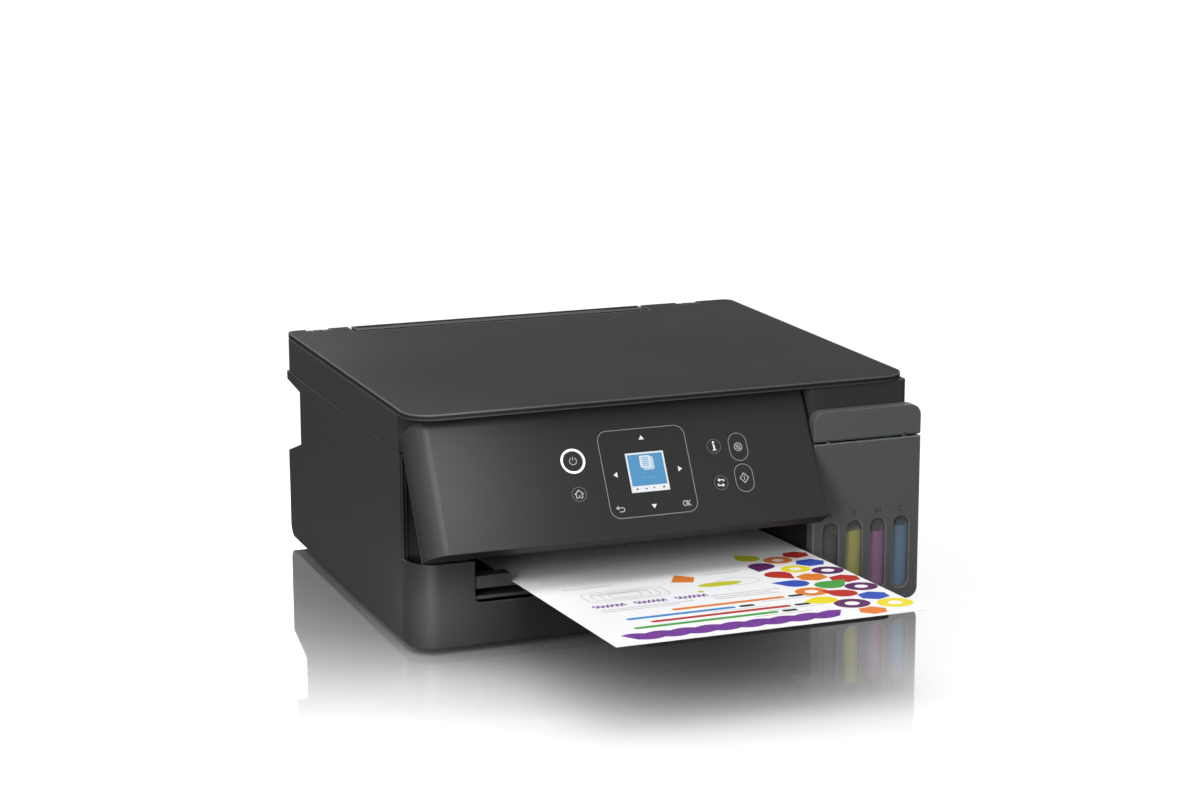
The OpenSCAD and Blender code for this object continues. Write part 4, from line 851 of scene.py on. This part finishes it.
# Tone, shape, middle across and along the sheet, size and turn
scatter = [
    ("yellow", "ring", 88, 26, 14, 0), ("orange", "hexagon", 66, 14, 10, 10),
    ("plum", "ring", 62, 36, 14, 0), ("blue", "hexagon", 84, 49, 11, 24),
    ("yellow", "drop", 49, 52, 11, 100), ("red", "drop", 69, 63, 11, 40),
    ("plum", "ring", 88, 75, 13, 0), ("orange", "ring", 52, 76, 13, 0),
    ("green", "drop", 71, 88, 12, 300), ("red", "hexagon", 88, 100, 11, 18),
    ("blue", "drop", 52, 101, 11, 60), ("orange", "hexagon", 70, 113, 11, 30),
    ("plum", "ring", 88, 126, 13, 0), ("red", "drop", 52, 129, 11, 200),
    ("yellow", "ring", 70, 139, 12, 0), ("blue", "hexagon", 87, 152, 11, 5),
    ("plum", "drop", 52, 156, 11, 150), ("orange", "ring", 70, 168, 12, 0),
    ("red", "hexagon", 88, 178, 10, 12), ("lime", "drop", 53, 181, 10, 20),
]
drop = [(0.0, 1.5)] + arc(0.0, 0.0, 0.85, start=150, end=390, steps=20)
for tone, kind, u, v, size, turn in scatter:
    if kind == "ring":
        prints[tone] += band(arc(u, v, size * 0.6, steps=36), size * 0.5, True)
    elif kind == "drop":
        prints[tone].append(turned(drop, u, v, size, turn))
    else:
        prints[tone].append(arc(u, v, size, start=turn, end=turn + 360, steps=6))
for k in range(3):
    ripple = [(-94 + 29 * k + 1.0 * n, 98 + 3.4 * math.sin(1.9 * n)) for n in range(23)]
    prints["violet"] += band(ripple, 1.3)
for u, v, width in (
    (-60, 88, 66), (-66, 83.5, 54), (12, 94, 50), (8, 89, 42), (10, 84.5, 46),
    (-64, 128, 40), (-78, 150, 36), (20, 150, 26),
):
    prints["grey"].append(rounded(u, v, width, 1.0, 0.45, 3))
for r in (9, 14, 19, 24):
    prints["grey"] += band(rounded(-62, 122, 2.4 * r, 1.1 * r, 0.3 * r, 6), 0.45, True)
prints["grey"] += band(arc(20, 124, 15, 10, steps=40), 0.5, True)
prints["orange"].append([(-22, 140), (-8, 134), (-2, 147), (-12, 158)])
prints["lime"].append(arc(6, 122, 16, 5.5, steps=28))
prints["lime"].append(arc(-14, 108, 2.2, steps=16))
# Each ink lies a little higher than the one before, so that no two share a surface
first_ink = 0.255
ink_step = 0.004
ink_thick = 0.02
for k, (tone, shapes) in enumerate(prints.items()):
    ink = marking("ink_on_paper_" + tone, sheet_ink[tone], 0.06, 0.55)
    height = first_ink + ink_step * k
    printed("print_" + tone, "sheet", shapes, ink, on_sheet, height, ink_thick)


# ---- Rear feed ----
# The upright charcoal chute with its hinged guard, and the satin grey support that pulls
# out of it. Two edge guides slide on it, and a soft roller picks the sheet up.
dress(charcoal, "feeder_frame", "feeder_guard")
dress(tray_plastic, "paper_support", "edge_guide_left", "edge_guide_right")
dress(rubbery("pick_rubber", (0.05, 0.05, 0.05)), "pickup_roller")


# ---- Print mechanism ----
# A folded zinc-plated frame that carries the black platen, carriage and cleaning station.
# The feed roller is coated with grit, the exit roller is rubber and the idler is acetal.
frame_steel = plated("frame_steel", (0.60, 0.61, 0.62), rough=0.38, brush=(1.0, 8.0, 8.0))
dress(frame_steel, "main_frame")
dress(inner, "platen", "carriage", "maintenance_station")
grit_coat = moulded(
    "grit_coat", (0.11, 0.11, 0.115), rough=0.85, gloss=0.084, grain=0.6,
    rounding=0.0002, speck=2600.0, mottle=0.25,
)
dress(grit_coat, "feed_roller")
white_acetal = moulded(
    "white_acetal", (0.72, 0.72, 0.69), rough=0.4, gloss=0.168, grain=0.05,
    rounding=0.0002,
)
dress(white_acetal, "idler_gear")
dress(rubbery("exit_rubber", (0.035, 0.035, 0.035)), "exit_roller")
dress(zinc, "print_head", "motors")


def toothed_belt():
    f = Finish("belt_rubber")
    where = f.place()
    teeth = f.node(
        "ShaderNodeTexWave", {"wave_type": "BANDS", "bands_direction": "X"},
        {"Vector": where, "Scale": 160.0},
    )
    grit = f.noise(where, 800.0, 2.0)
    return f.skin({
        "Base Color": f.blend(grit, (0.015, 0.015, 0.015, 1), (0.03, 0.03, 0.03, 1)),
        "Roughness": 0.7 + 0.1 * grit,
        "Normal": f.relief(0.5, 0.0004, teeth),
    })


dress(toothed_belt(), "carriage_belt")


# ---- Electronics and ports ----
# The main board under green solder mask and the boxed power supply beside it, both fixed
# in the base, and the two black sockets at the back.
def solder_mask():
    f = Finish("board_green")
    where = f.place()
    tracks = f.node(
        "ShaderNodeTexBrick", {"offset": 0.5},
        {
            "Vector": where, "Scale": 220.0, "Color1": (0.015, 0.09, 0.035, 1),
            "Color2": (0.02, 0.115, 0.045, 1), "Mortar": (0.04, 0.17, 0.07, 1),
            "Mortar Size": 0.03,
        },
    )
    cloud = f.noise(where, 90.0, 2.0)
    return f.skin({
        "Base Color": f.blend(0.3 * cloud, tracks, (0.03, 0.12, 0.05, 1)),
        "Roughness": 0.35 + 0.2 * cloud,
    })


dress(solder_mask(), "electronics")
dress(inner, "rear_ports")
